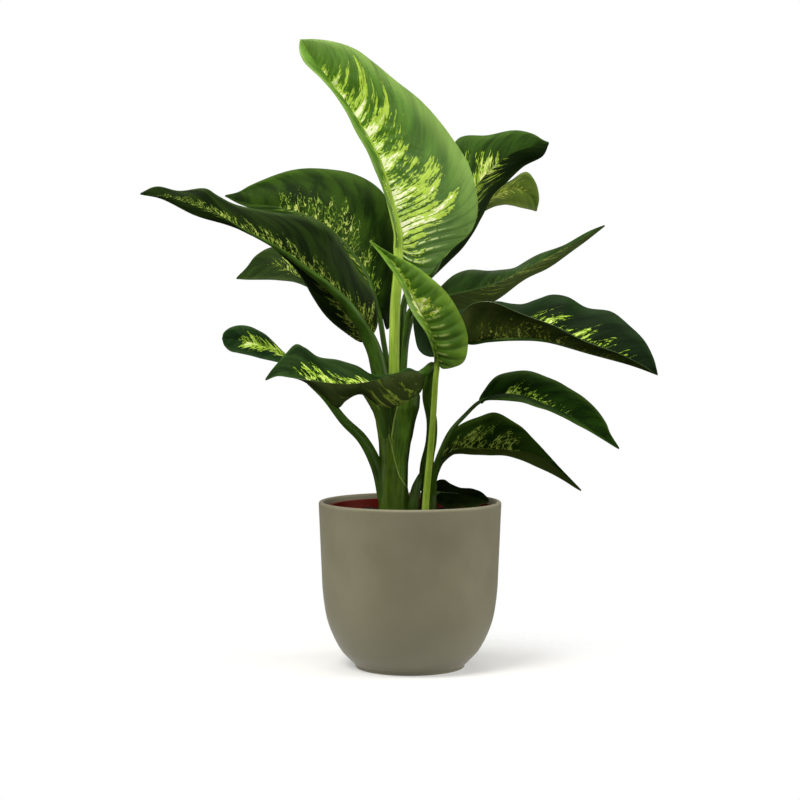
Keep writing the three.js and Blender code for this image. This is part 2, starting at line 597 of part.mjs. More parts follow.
// Assembly
const plant = new THREE.Group();
const caneCutter = stemSolid(CANE, 'cane', CLEARANCE);
const shootCutter = shootSolid(CLEARANCE);
const cane = stemSolid(CANE, 'cane', 0);
const shoot = shootSolid(0).subtract(caneCutter);
const ownStem = stalkSolid(LEAVES.leaf_g, CLEARANCE);
const soil = soilSolid().subtract(caneCutter).subtract(shootCutter).subtract(ownStem);

plant.add(meshOf('cachepot', cachepotSolid(), stoneware));
plant.add(meshOf('nursery_pot', nurserySolid(), plastic));
plant.add(meshOf('soil', soil, earth));
plant.add(meshOf('cane', cane, caneGreen));
plant.add(meshOf('side_shoot', shoot, caneGreen));
for (const [name, leaf] of Object.entries(LEAVES)) {
  const whole = bladeSolid(leaf).add(stalkSolid(leaf));
  const clear = whole.subtract(caneCutter).subtract(shootCutter);
  plant.add(meshOf(name, clear, name === 'leaf_a' ? brightLeaf : darkLeaf));
}

export default plant;
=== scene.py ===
"""The looks of a potted dieffenbachia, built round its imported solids.

The leaves repeat the solids' midribs and edges, in millimetres, on a finer grid. Each blade has
its lateral veins, its raised midrib and its splashes of cream and yellow-green. The cane, shoot,
pots and soil are finer forms of their solids in the same places.
"""

import math

import bpy
import numpy as np
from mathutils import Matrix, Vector, noise


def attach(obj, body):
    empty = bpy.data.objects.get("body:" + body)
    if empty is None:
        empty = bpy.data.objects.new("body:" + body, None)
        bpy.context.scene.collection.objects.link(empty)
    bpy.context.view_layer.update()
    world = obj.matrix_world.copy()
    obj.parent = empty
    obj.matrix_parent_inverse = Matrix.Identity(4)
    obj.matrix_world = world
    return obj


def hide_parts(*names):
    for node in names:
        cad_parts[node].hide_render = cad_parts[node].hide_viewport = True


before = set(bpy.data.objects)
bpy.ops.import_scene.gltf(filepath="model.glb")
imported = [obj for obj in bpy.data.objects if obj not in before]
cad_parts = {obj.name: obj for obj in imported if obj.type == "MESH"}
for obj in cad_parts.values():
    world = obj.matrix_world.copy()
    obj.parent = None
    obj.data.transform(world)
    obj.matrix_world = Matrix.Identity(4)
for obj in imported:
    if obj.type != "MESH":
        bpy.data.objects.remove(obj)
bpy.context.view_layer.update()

MM = 0.001

# The maps that the colours use count in centimetres
MAP_UNIT = 10

# The pots and the soil, in millimetres as in the solids
POT_RADIUS = 95
POT_HEIGHT = 173
POT_WALL = 5
POT_FLOOR = 10
FOOT_RADIUS = 57
FOOT_HEIGHT = 2.5
FOOT_EDGE = 1
POT_WALL_LINE = [(91.3, 84), (89.6, 68), (86.6, 51), (81, 35), (72.5, 19), (63, 8.5), (59.5, 5)]
NURSERY_TOP = 168
NURSERY_RIM_RADIUS = 86
NURSERY_TOP_RADIUS = 83
NURSERY_FOOT_RADIUS = 54
NURSERY_FOOT = 10.3
NURSERY_WALL = 1.4
NURSERY_RIM_DEPTH = 8
DRAIN_HOLES = 5
DRAIN_RADIUS = 5
DRAIN_CIRCLE = 34
SOIL_EDGE = 156
SOIL_DOME = 7
SOIL_BUMP = 1.5
STEM_DEPTH = 112

# Places on the plant are [across, up, depth]: across and up are where the point is seen from the
# front, in the plane through the pot's axis that the eye looks straight at, and depth is its true
# distance behind the pot's axis. The camera stands at the eye.
EYE = np.array([-10.4, -2024, 374])
AIM = np.array([-10.4, 0, 278])
FOCAL_PIXELS = 1952.1
IMAGE_PIXELS = 800
SENSOR_WIDTH = 36
NEAR_CLIP = 0.05

# Each leaf's stalk, midrib and two edges, left and right as one looks from its base to its tip.
# The lean is how much further back the tip lies than its depth says. A middle line, where there
# is one, is a line that the half blade passes through between the midrib and the edge.
LEAVES = {}
LEAVES["leaf_a"] = dict(
    radius=[5.9, 5.2], lean=35, camber=0.06, waves=[2.5, 1.2],
    stalk=[[-14, 200, 0], [-15, 255, 0], [-16.5, 303, 2], [-15.5, 372, 2]],
    rib=[[-12, 430, 2], [-20, 478, 6], [-34, 527, 10], [-55, 567, 12], [-80, 604, 12], [-104, 637, 8],
        [-114, 652, 4]],
    left=[[-15, 450, -14], [-26, 490, -30], [-41.5, 531, -38], [-60, 563, -36], [-73.5, 588, -30],
        [-90.5, 611, -20], [-110, 629, -8], [-115, 641, 0]],
    right=[[-7, 415, -2], [5, 405, -3], [19, 407, -4], [32, 423, -5], [48, 438.5, -6], [61, 450, -7],
        [69, 467, -8], [70, 488, -8], [61, 522, -6], [43, 551, -6], [12, 588, -6], [-14, 609, -5],
        [-38, 629, -4], [-56, 642, -2], [-77, 649.5, 0], [-97, 652.5, 3]],
)
LEAVES["leaf_b"] = dict(
    radius=[9, 7.6], lean=-50, camber=0.08, waves=[3, 2],
    stalk=[[-16, 205, -2], [-23, 255, -8], [-30, 300, -12], [-36, 325, -14]],
    rib=[[-42.5, 341, -16], [-67, 379, -24], [-108, 414, -34], [-142, 438, -40], [-170, 453, -44],
        [-203, 472, -48], [-239, 487, -50], [-280, 492, -50]],
    left=[[-51, 338, -14], [-68.5, 349, -14], [-86.5, 364.5, -16], [-102, 386, -20], [-119.5, 415.5, -28],
        [-143, 439, -36], [-167, 449, -40], [-192, 460, -44], [-224, 470, -48], [-259, 487, -50]],
    right=[[-34, 356, -8], [-36, 386, -4], [-50, 407, -6], [-67, 433, -8], [-80, 453, -10],
        [-104, 467, -12], [-141, 473, -18], [-182, 480, -26], [-200, 490, -32], [-212, 497.5, -36],
        [-240, 495.5, -42], [-264, 499.5, -48]],
)
LEAVES["leaf_c"] = dict(
    radius=[3.2, 2.8], lean=55, camber=0.1, waves=[2, 2],
    stalk=[[-15, 215, 6], [-17.5, 262, 9], [-22, 305, 14], [-27.5, 339, 17]],
    rib=[[-32, 366, 22], [-45, 407, 30], [-68, 440, 36], [-93, 462, 40], [-130, 476, 42], [-176, 484, 40],
        [-192, 490, 38]],
    left=[[-40, 372, 20], [-58, 402, 24], [-80, 428, 28], [-103, 450, 32], [-130, 465, 36],
        [-157, 474, 38], [-178, 482, 38]],
    right=[[-24, 351, 28], [-15, 372, 36], [-13, 430, 46], [-20, 477.5, 54], [-42, 504, 58],
        [-83, 518, 60], [-124, 516.5, 56], [-164, 501.5, 48], [-179, 493.5, 42]],
)
LEAVES["leaf_d"] = dict(
    radius=[2.2, 2], lean=50, camber=0.08, waves=[2, 1],
    stalk=[[-17, 215, 4], [-28, 258, 5], [-37, 300, 6], [-44.5, 333, 10]],
    rib=[[-55, 351, 14], [-83, 377, 18], [-114, 404, 22], [-142, 419, 24], [-166, 414, 22],
        [-180, 404, 20]],
    left=[[-67, 359, 8], [-88.5, 384, 8], [-112, 398.5, 10], [-139, 402, 10], [-170, 403, 14]],
    right=[[-55, 369, 24], [-84, 410, 32], [-115, 433, 38], [-144.5, 436.5, 38], [-160, 428, 34],
        [-170, 415, 28]],
)
LEAVES["leaf_e"] = dict(
    radius=[8, 3], lean=-30, camber=0.12, waves=[2, 1],
    stalk=[[-18, 160, 0], [-26, 182, -2], [-36, 213, -2], [-49.5, 237.5, 0], [-68.5, 256.5, 4],
        [-88, 281, 8]],
    rib=[[-108, 300, 10], [-128, 320, 8], [-152, 333, 4], [-180, 341, -4], [-195, 342, -10]],
    left=[[-112, 300, -4], [-132, 316, -8], [-157, 321.5, -12], [-178, 326.5, -14], [-187, 329, -13],
        [-193, 335, -12]],
    right=[[-106, 306, 18], [-128, 325, 22], [-152, 346.5, 18], [-172, 355.5, 8], [-187, 353, -2],
        [-194, 347, -8]],
)
LEAVES["leaf_f"] = dict(
    radius=[6.4, 4.6], lean=-35, camber=0.08, waves=[2, 1],
    stalk=[[19, 185, 4], [17.5, 210, 2], [22, 236, -2], [22.5, 257, -7], [18, 281, -15], [19.5, 299, -26],
        [23.5, 313, -35]],
    rib=[[14.5, 306.5, -42], [1, 300, -46], [-26, 287, -50], [-52, 291, -50], [-80, 292, -46],
        [-104, 300, -42], [-128, 308.5, -42], [-150, 299, -46]],
    left=[[9, 306.5, -50], [-2, 307.5, -55], [-16, 304, -62], [-41, 298, -66], [-73, 295, -66],
        [-100, 297, -62], [-124, 301.5, -56], [-138, 303, -50]],
    left_middle=[[14.5, 297, -45], [10.5, 286, -50], [-2, 277.5, -54], [-18, 271, -56], [-30, 272, -58],
        [-51, 284.5, -58], [-66, 278, -58], [-75, 270, -56], [-90, 282, -54], [-114, 300, -48],
        [-132, 305, -48]],
    right=[[7, 308, -36], [-2, 311, -32], [-14, 306, -28], [-39, 305, -27], [-56, 314, -24],
        [-73, 319, -20], [-97, 323, -16], [-110, 332, -14], [-118, 336, -16], [-130, 325, -24],
        [-142, 311, -34]],
)
LEAVES["leaf_g"] = dict(
    radius=[4, 2.8], lean=-20, camber=0.08, waves=[2, 1.5],
    stalk=[[14.5, STEM_DEPTH, -24], [16, 166, -28], [18.3, 195, -32], [20.5, 218, -36], [23.2, 250, -42],
        [25.3, 280, -47], [26.6, 300, -51]],
    rib=[[28, 316, -54], [23, 343, -60], [11, 368, -64], [-2, 393, -66], [-18, 420, -68], [-42, 443, -70]],
    left=[[25, 322, -66], [17, 345, -76], [3, 370, -82], [-10, 396, -84], [-22, 416, -80],
        [-32, 431, -74]],
    right=[[33, 311, -54], [45, 312, -56], [56, 318, -58], [60, 336, -60], [56, 358, -62], [40, 387, -64],
        [24, 403, -66], [2, 419, -68], [-18, 429, -70]],
)
LEAVES["leaf_h"] = dict(
    radius=[3.8, 3.4], lean=60, camber=0.1, waves=[2.5, 2],
    stalk=[[-13, 210, 8], [-12, 262, 12], [-11, 305, 17], [-8.5, 352, 21], [-4, 386, 26], [7, 401, 30]],
    rib=[[22, 408, 32], [47, 459, 42], [73, 505, 50], [104, 533, 54], [144, 545, 52]],
    left=[[20, 424, 34], [31, 470, 40], [38, 520, 44], [50, 549, 46], [80, 553, 48], [109, 558, 50],
        [128, 554, 50], [138, 548, 51]],
    right=[[31, 413, 44], [57, 438, 58], [72, 465.5, 68], [86, 488.5, 72], [101, 504, 72],
        [117, 520.5, 68], [138, 531.5, 57]],
)
LEAVES["leaf_i"] = dict(
    radius=[2.4, 2], lean=20, camber=0.1, waves=[2, 1],
    stalk=[[-12, 215, 8], [-9, 262, 14], [-6, 302, 22], [-2, 345, 34], [10, 385, 54], [30, 422, 82],
        [48, 445, 106]],
    rib=[[64, 466, 122], [88, 489, 130], [111, 497, 134], [125, 489, 134], [131, 474, 130]],
    left=[[66, 476, 132], [86, 498, 140], [104, 506, 144], [121, 514, 144], [130, 504, 140],
        [134, 488, 134]],
    right=[[76, 473, 118], [88, 479.5, 116], [109, 479, 118], [123, 476, 124]],
)
LEAVES["leaf_j"] = dict(
    radius=[3, 2.6], lean=45, camber=0.08, waves=[2.5, 1.5],
    stalk=[[-12, 215, 4], [-9, 262, 6], [-8, 303, 8], [-7, 345, 8], [-5, 380, 12], [10, 390, 16]],
    rib=[[24, 385, 22], [50, 389, 30], [86, 398, 38], [120, 414, 44], [160, 435, 50], [202, 459, 52]],
    left=[[30, 394, 34], [48, 408.5, 50], [66, 414, 60], [90, 413, 66], [109, 414, 66], [135, 430, 62],
        [161, 440, 58], [188, 454, 54]],
    right=[[32, 373, 20], [58, 370, 24], [88, 380.5, 30], [123, 405, 36], [146, 417, 40], [178, 439, 48]],
)
LEAVES["leaf_k"] = dict(
    radius=[3.4, 3.2], lean=-50, camber=0.06, waves=[3, 1.5],
    stalk=[[-11, 210, -2], [-8.5, 262, -4], [-7, 303, -6], [-4.5, 345, -6], [1, 371, -8], [12, 375, -12]],
    rib=[[23, 361, -18], [44, 346, -24], [62, 338.5, -26], [80, 340.5, -28], [109, 342, -30],
        [140, 340, -30], [187, 326.5, -28], [233, 313, -26], [257, 304, -24]],
    left=[[26, 368, -6], [52, 371, 2], [76, 377, 6], [90, 381, 8], [105, 379.5, 9], [118, 378.5, 10],
        [133, 382, 10], [147, 386, 10], [163, 384, 8], [182, 375.5, 6], [209, 370, 0], [228.5, 354, -8],
        [244, 338.5, -16], [253, 321, -22]],
    right=[[12, 373, -32], [4, 365, -35], [5, 345, -38], [9, 331, -41], [16, 325, -42], [26, 324, -43],
        [42, 342, -46], [60, 374, -50], [83, 381, -54], [109, 372, -56], [140, 358, -56], [176, 341, -52],
        [218, 326.5, -44], [247, 310.5, -30]],
)
LEAVES["leaf_m"] = dict(
    radius=[3.2, 1.9], lean=-45, camber=0.12, waves=[2.5, 0.8],
    stalk=[[21, 176, 2], [25, 204, -8], [32, 224.5, -12], [42, 245, -12], [57, 262, -8]],
    rib=[[73, 276.5, -2], [90, 282.5, 2], [112, 283, 4], [132, 276, 3], [152, 266.5, -1], [182, 250, -7],
        [217, 227.5, -12]],
    left=[[75, 285, 10], [88, 301, 22], [102, 306.5, 28], [120, 309, 30], [146, 300, 26], [185, 277, 14],
        [203, 255, 2], [208, 243, -6]],
    right=[[80, 277.5, -14], [109, 277, -24], [130, 270.5, -28], [152, 264, -30], [176, 251, -30],
        [205, 234, -20]],
)
LEAVES["leaf_n"] = dict(
    radius=[3.4, 3], lean=15, camber=0.12, waves=[2.5, 0.8],
    stalk=[[21, 172, 6], [23, 190, 8]],
    rib=[[29, 208, 8], [39, 221, 9], [55, 227.5, 8], [80, 226, 6], [106, 224, 4], [128, 222, 2],
        [143, 214, 0], [159, 200.5, -4], [177.5, 184, -8]],
    left=[[33, 228, 20], [47, 249, 30], [71, 260.5, 36], [88, 264.5, 36], [112, 252.5, 30],
        [127.5, 238, 22], [156, 206.5, 4]],
    right=[[32.5, 215, 4], [41, 220.5, -2], [52, 222.5, -8], [66, 221.5, -14], [80, 220.5, -20],
        [104, 219, -24], [124, 212.5, -24], [151, 199, -18]],
)
LEAVES["leaf_o"] = dict(
    radius=[2.6, 2.2], lean=0, camber=0.08, waves=[2, 0.6],
    stalk=[[20, 166, 8], [22, 176, 14]],
    rib=[[27, 181, 18], [44, 181, 22], [58, 179, 22], [71, 175.5, 18], [82, 172.5, 8]],
    left=[[28, 194, 34], [35, 195, 38], [42, 191, 42], [50, 188, 45], [64, 186, 44], [75, 181, 36],
        [81, 176, 20]],
    right=[[28, 172, 8], [37, 167, 0], [49, 166, -4], [63, 166.5, -4], [75, 170, 0]],
)

# Stems written [across, up, depth, radius], from below the soil upwards
CANE = [[-15, STEM_DEPTH, 0, 14], [-16, 150, 0, 14.8], [-16.8, 180, 0, 14], [-16.2, 212, 0, 13.8],
        [-15.4, 234, 1, 15.4], [-14.5, 256, 4, 18.6], [-13, 270, 6, 21.2], [-12, 282, 8, 21],
        [-12, 292, 8, 17]]
SIDE_SHOOT = [[18, STEM_DEPTH, 4, 8], [18.5, 160, 4, 9.5], [19.5, 180, 4, 8.5],
              [20.5, 200, 2, 6]]
SHOOT_BRACT = [[2, 150, -6, 5], [3, 168, -9, 6], [7, 188, -7, 5], [15, 209, 0, 1.2]]


# Curves and surfaces, as in the solids
def seen(places):
    """True places, in millimetres, of points written [across, up, depth]"""
    across, up, depth = np.asarray(places, float)[..., :3].T
    sight = AIM - EYE
    rise = np.cross((1, 0, 0), sight)
    rise /= np.linalg.norm(rise)
    ray = sight + np.outer(up - AIM[2], rise)
    ray[:, 0] += across - AIM[0]
    return EYE + ray * ((depth - EYE[1]) / ray[:, 1])[:, None]


def lengths_of(vectors):
    return np.linalg.norm(vectors, axis=-1, keepdims=True)


def run_of(points):
    """How far along the line through them each point lies"""
    steps = lengths_of(np.diff(points, axis=0))[:, 0]
    return np.concatenate([[0], np.cumsum(steps)])


def spline(points, places, even=False):
    """Where a Catmull-Rom curve runs at places that count its points from the second, up to the
    last but one. It is centripetal unless it is even."""
    span = np.minimum(places.astype(int), len(points) - 4)
    w = (places - span)[..., None]
    p0, p1, p2, p3 = (points[span + i] for i in range(4))
    steps = ((p0, p1), (p1, p2), (p2, p3))
    d0, d1, d2 = (1 if even else np.sqrt(lengths_of(b - a)) for a, b in steps)
    out = ((p1 - p0) / d0 - (p2 - p0) / (d0 + d1) + (p2 - p1) / d1) * d1
    on = ((p2 - p1) / d1 - (p3 - p1) / (d1 + d2) + (p3 - p2) / d2) * d1
    bend = -3 * p1 + 3 * p2 - 2 * out - on
    twist = 2 * p1 - 2 * p2 + out + on
    return p1 + out * w + bend * w**2 + twist * w**3


class Curve:
    """A centripetal Catmull-Rom curve, read by the share of its length"""

    STEPS = 400
    REACH = 0.0005

    def __init__(self, points):
        points = np.asarray(points, float)
        first = 2 * points[0] - points[1]
        last = 2 * points[-1] - points[-2]
        self.points = np.vstack([first, points, last])
        self.spans = len(points) - 1
        self.places = np.linspace(0, 1, self.STEPS + 1)
        self.run = run_of(self.read(self.places))
        self.length = self.run[-1]

    def read(self, places):
        return spline(self.points, np.clip(places, 0, 1) * self.spans)

    def at(self, shares):
        return self.read(np.interp(np.asarray(shares) * self.length, self.run, self.places))

    def heading(self, shares):
        shares = np.asarray(shares)
        ahead = self.at(np.minimum(shares + self.REACH, 1))
        step = ahead - self.at(np.maximum(shares - self.REACH, 0))
        return step / lengths_of(step)

    def share_of_point(self, index):
        return np.interp(index / self.spans, self.places, self.run) / self.length


BASE_HALF_WIDTH = 3
TIP_HALF_WIDTH = 0.7
ROW_CROWDING = 0.4
VIEW_BACK = np.array([0, -1, 0])


def leaned(leaf, points):
    """A blade's points in their true places, with its lean"""
    points = np.asarray(points, float)
    base, tip = np.asarray(leaf["rib"], float)[[0, -1], :2]
    share = np.linalg.norm(points[:, :2] - base, axis=1) / np.linalg.norm(tip - base)
    points[:, 2] += leaf["lean"] * share
    return seen(points)


class Blade:
    """A leaf's line from the foot of its stalk to its tip, and its blade's middle surface"""

    def __init__(self, leaf):
        self.leaf = leaf
        self.spine = Curve(np.vstack([seen(leaf["stalk"]), leaned(leaf, leaf["rib"])]))
        self.base = self.spine.share_of_point(len(leaf["stalk"]))
        self.rib_length = (1 - self.base) * self.spine.length
        self.halves = []
        for side, edge in ((-1, "left"), (1, "right")):
            outline = self.line(leaf[edge], side, 1)
            middle = leaf.get(edge + "_middle")
            inner = self.line(middle, side, 0.5) if middle else None
            self.halves.append((side, outline, inner))

    def rib(self, t):
        return self.spine.at(self.base + (1 - self.base) * np.asarray(t))

    def heading(self, t):
        return self.spine.heading(self.base + (1 - self.base) * np.asarray(t))

    def line(self, points, side, share):
        """A line through points of one half, from beside the base to beside the tip"""
        ends = []
        for t, width in ((0.0, BASE_HALF_WIDTH), (1.0, TIP_HALF_WIDTH)):
            sideways = np.cross(self.heading([t])[0], VIEW_BACK)
            sideways /= np.linalg.norm(sideways)
            ends.append(self.rib([t])[0] + sideways * side * width * share)
        return Curve(np.vstack([ends[0], leaned(self.leaf, points), ends[1]]))

    def surface(self, rows, columns):
        """Points for rows 0..1 from base to tip and columns -1..1 from edge to edge, with each
        row's width to the left and right"""
        rib = self.rib(rows)
        heading = self.heading(rows)
        waves, wave_height = self.leaf["waves"]
        grid = np.zeros((len(rows), len(columns), 3))
        widths = np.zeros((len(rows), 2))
        for k, (side, outline, inner) in enumerate(self.halves):
            edge = outline.at(rows)
            outward = edge - rib
            up = np.cross(outward * side, heading)
            up /= lengths_of(up)
            middle = (rib + edge) / 2 + up * self.leaf["camber"] * lengths_of(outward)
            if inner is not None:
                middle = inner.at(rows)
            mine = np.where(columns < 0 if side < 0 else columns >= 0)[0]
            a = np.abs(columns[mine])[None, :, None]
            points = rib[:, None] * (1 - a) * (1 - 2 * a)
            points = points + middle[:, None] * 4 * a * (1 - a) + edge[:, None] * a * (2 * a - 1)
            swing = np.sin(2 * np.pi * waves * rows + side) * np.sin(np.pi * rows)
            points = points + up[:, None] * (wave_height * swing)[:, None, None] * a**2
            grid[:, mine] = points
            widths[:, k] = lengths_of(outward)[:, 0]
        return grid, widths


def row_place(share):
    """Rows lie closer together towards the base and the tip"""
    return share - ROW_CROWDING * np.sin(2 * np.pi * share) / (2 * np.pi)


def smoothstep(low, high, value):
    x = np.clip((value - low) / (high - low), 0, 1)
    return x * x * (3 - 2 * x)


def normals_of(grid):
    run = np.gradient(grid, axis=0)
    width = np.gradient(grid, axis=1)
    normal = np.cross(width, run)
    return normal / np.maximum(lengths_of(normal), 1e-9)


VEIN_START = 0.1
VEIN_BEND = 0.25
VEIN_HALVINGS = 26


def vein_place(t, a, most):
    """Where on the midrib, 0..1, the lateral vein through a point starts. Veins leave the midrib
    at about sixty degrees and sweep towards the tip, at most by the given share of its length."""
    curve = (1 - VEIN_BEND) * a + VEIN_BEND * a**2
    low = np.full(np.shape(t), -VEIN_START)
    high = np.ones(np.shape(t))
    for _ in range(VEIN_HALVINGS):
        middle = (low + high) / 2
        sweep = most * np.sqrt(middle + VEIN_START) * (1 - middle)
        over = middle + sweep * curve > t
        high = np.where(over, middle, high)
        low = np.where(over, low, middle)
    return (low + high) / 2

# Meshes
class Builder:
    """Gathers vertices, faces, two maps and material numbers, and makes one mesh of them"""

    def __init__(self):
        self.points = []
        self.maps = []
        self.faces = []
        self.slots = []
        self.count = 0

    def add(self, points, maps=None):
        """Adds vertices in millimetres with four map values each, and returns the first's number"""
        points = np.asarray(points, float).reshape(-1, 3)
        if maps is None:
            maps = np.zeros((len(points), 4))
        first = self.count
        self.points.append(points)
        self.maps.append(np.asarray(maps, float).reshape(-1, 4))
        self.count += len(points)
        return first

    def face(self, faces, slot):
        faces = np.asarray(faces, int)
        self.faces.append(faces)
        self.slots.append(np.full(len(faces), slot))

    def sheet(self, first, rows, columns, slot, flip=False, closed=False):
        """Faces between a grid of vertices; a closed grid joins its last column to its first"""
        i, j = np.meshgrid(np.arange(rows - 1), np.arange(columns - (0 if closed else 1)))
        i, j = i.T.ravel(), j.T.ravel()
        k = (j + 1) % columns
        quads = [first + i * columns + j, first + i * columns + k,
                 first + (i + 1) * columns + k, first + (i + 1) * columns + j]
        self.face(np.stack(quads[::-1] if flip else quads, 1), slot)

    def slab(self, over, under, maps, slots, flip=False):
        """Two grids of points, one over the other, closed round their edge, with the numbers of
        the material on the upper side, the lower side and the edge"""
        rows, columns = over.shape[:2]
        top = self.add(over, maps)
        bottom = self.add(under, maps)
        self.sheet(top, rows, columns, slots[0], flip)
        self.sheet(bottom, rows, columns, slots[1], not flip)
        index = np.arange(rows * columns).reshape(rows, columns)
        edge = np.concatenate([index[0], index[1:, -1], index[-1, -2::-1], index[-2:0:-1, 0]])
        onward = np.roll(edge, -1)
        quads = [top + edge, bottom + edge, bottom + onward, top + onward]
        self.face(np.stack(quads[::-1] if flip else quads, 1), slots[2])

    def stack(self, rings, slot, maps=None, ends=(None, None)):
        """A skin over rings of points, closed at each end by a flat face or a fan to a point"""
        rings = np.asarray(rings, float)
        count, sides = rings.shape[:2]
        first = self.add(rings, maps)
        self.sheet(first, count, sides, slot, closed=True)
        around = np.arange(sides)
        last = first + (count - 1) * sides
        for end, rim in zip(ends, (first + around[::-1], last + around)):
            if end is None:
                self.face([rim], slot)
            else:
                middle = np.full(sides, self.add(end))
                self.face(np.stack([middle, rim, np.roll(rim, -1)], 1), slot)

    def object(self, name, materials):
        points = np.vstack(self.points) * MM
        maps = np.vstack(self.maps)
        sizes = np.concatenate([np.full(len(f), f.shape[1]) for f in self.faces])
        corners = np.concatenate([f.ravel() for f in self.faces])
        slots = np.concatenate(self.slots)
        mesh = bpy.data.meshes.new(name)
        mesh.vertices.add(len(points))
        mesh.vertices.foreach_set("co", points.ravel())
        mesh.loops.add(len(corners))
        mesh.loops.foreach_set("vertex_index", corners)
        mesh.polygons.add(len(sizes))
        mesh.polygons.foreach_set("loop_start", np.concatenate([[0], np.cumsum(sizes)[:-1]]))
        for material in materials:
            mesh.materials.append(material)
        mesh.polygons.foreach_set("material_index", slots)
        mesh.update(calc_edges=True)
        mesh.validate()
        for layer, part in (("blade", maps[:, :2]), ("vein", maps[:, 2:])):
            mesh.uv_layers.new(name=layer).uv.foreach_set("vector", part[corners].ravel())
        mesh.shade_smooth()
        if len(materials) > 1:
            sharpen(mesh, np.repeat(slots, sizes), len(materials))
        made = bpy.data.objects.new(name, mesh)
        bpy.context.scene.collection.objects.link(made)
        return made


def sharpen(mesh, slot_of, count):
    """Makes every edge crisp where two materials meet; slot_of is each face corner's material"""
    edge_of = np.zeros(len(slot_of), int)
    mesh.loops.foreach_get("edge_index", edge_of)
    lowest = np.full(len(mesh.edges), count)
    highest = np.full(len(mesh.edges), -1)
    np.minimum.at(lowest, edge_of, slot_of)
    np.maximum.at(highest, edge_of, slot_of)
    sharp = mesh.attributes.new("sharp_edge", "BOOLEAN", "EDGE")
    sharp.data.foreach_set("value", lowest != highest)


def circle(sides):
    """A level circle of radius 1"""
    angles = 2 * np.pi * np.arange(sides) / sides
    return np.stack([np.cos(angles), np.sin(angles), np.zeros(sides)], 1)


def add_tube(builder, centres, radii, sides, slot=0):
    """A closed tube through the centres, mapped in centimetres across and along, and by the
    share of its length"""
    centres = np.asarray(centres, float)
    axes = np.gradient(centres, axis=0)
    axes /= lengths_of(axes)
    run = run_of(centres)
    across, ahead, _ = circle(sides).T
    normal = VIEW_BACK.astype(float)
    rings = []
    maps = []
    for centre, radius, axis, far in zip(centres, radii, axes, run):
        normal = normal - axis * normal.dot(axis)
        normal /= np.linalg.norm(normal)
        ring = np.outer(across, normal) + np.outer(ahead, np.cross(axis, normal))
        rings.append(centre + radius * ring)
        maps.append(np.stack([across * radius / MAP_UNIT, ahead * radius / MAP_UNIT,
                              np.full(sides, far / MAP_UNIT), np.full(sides, far / run[-1])], 1))
    builder.stack(rings, slot, maps)


def add_lathe(builder, profile, sides):
    """A turned solid from (radius, height) points that start and end on the axis"""
    rings = [radius * circle(sides) + (0, 0, height) for radius, height in profile[1:-1]]
    ends = [(0, 0, height) for _, height in (profile[0], profile[-1])]
    builder.stack(rings, 0, ends=ends)


def settle(piece, node):
    """Lets a piece ride on the plant's one body, in the place of one solid"""
    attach(piece, "root")
    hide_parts(node)


# Leaves
ROWS = 190
HALF_COLUMNS = 26
COLUMN_CROWDING = 1.3
BLADE_THICKNESS = 1.1
EDGE_THICKNESS = 0.6
STALK_RINGS = 90
RIB_RINGS = 120
TUBE_SIDES = 20
RIB_TIP_RADIUS = 0.45
RIB_JOIN = (0, 0.04)
RIB_RISE = (0, 0.1)
RIB_STRIP = 0.02
FLARE_SPAN = (0, 45)
UPPER, UNDER, RIM, STALK = range(4)

# Where the quilting comes in and goes out again, across a half blade and along the leaf, and
# where it is stronger near the base. The left half's outward map starts at a number of its own,
# so that its noises differ from the right half's.
QUILT_ACROSS = ((0.02, 0.16), (0.72, 0.97))
QUILT_ALONG = ((0.0, 0.06), (0.85, 1.0))
BASE_QUILT_SPAN = (0.1, 0.5)
QUILT_LEVEL = 0.6
QUILT_UNEVEN = 0.35
PUCKER_FADE = (0.45, 0.8)
RUFFLES = 3
FINE_RUFFLES = 6.9
RUFFLE_HEIGHT = 0.012
LEFT_START = 20


def between(value, rise, fall):
    """0, going up to 1 over the first span and down to 0 again over the second"""
    return smoothstep(*rise, value) * (1 - smoothstep(*fall, value))


def blade_relief(blade, look, rows, columns, widths):
    """The height of the blade's quilting, and the two maps that its colours use: the places
    along and across, and the centimetres along the midrib and outward along the veins"""
    t = np.repeat(rows[:, None], len(columns), 1)
    s = np.repeat(columns[None], len(rows), 0)
    a = np.abs(s)
    seed = look["seed"]
    along = vein_place(t, a, np.where(s < 0, *look["sweep"])) * blade.rib_length
    half = np.where(s < 0, widths[:, :1], widths[:, 1:])
    far = a * half
    inside = between(a, *QUILT_ACROSS) * between(t, *QUILT_ALONG)

    # A hollow over each vein and a bulge between two, none quite like the next
    veins = along / look["vein_gap"]
    wave = np.abs(np.sin(np.pi * veins)) - QUILT_LEVEL
    near_base = 1 + look["base_quilt"] * (1 - smoothstep(*BASE_QUILT_SPAN, t))
    uneven = 1 + QUILT_UNEVEN * np.sin(1.7 * veins + seed + 3 * s)
    height = look["quilt"] * wave * inside * near_base * uneven

    # Puckers, a few millimetres long, that wander from row to row
    drift = 1.3 * np.sin(far / 6 + seed) + 0.9 * np.sin(along / 17)
    lump = np.sin(along / 1.9 + drift) * np.sin(far / 3.1 + 2 * np.sin(along / 8))
    height = height + look["pucker"] * lump * inside * (1 - smoothstep(*PUCKER_FADE, a))

    # The edge goes up and down
    ruffle = np.sin(2 * np.pi * RUFFLES * t + seed + 2 * (s > 0))
    ruffle = ruffle + 0.5 * np.sin(2 * np.pi * FINE_RUFFLES * t + 2 * seed)
    height = height + RUFFLE_HEIGHT * half * ruffle * a**3 * np.sin(np.pi * t)
    outward = far / MAP_UNIT + np.where(s < 0, LEFT_START, 0)
    return height, np.stack([t, s, along / MAP_UNIT, outward], -1)


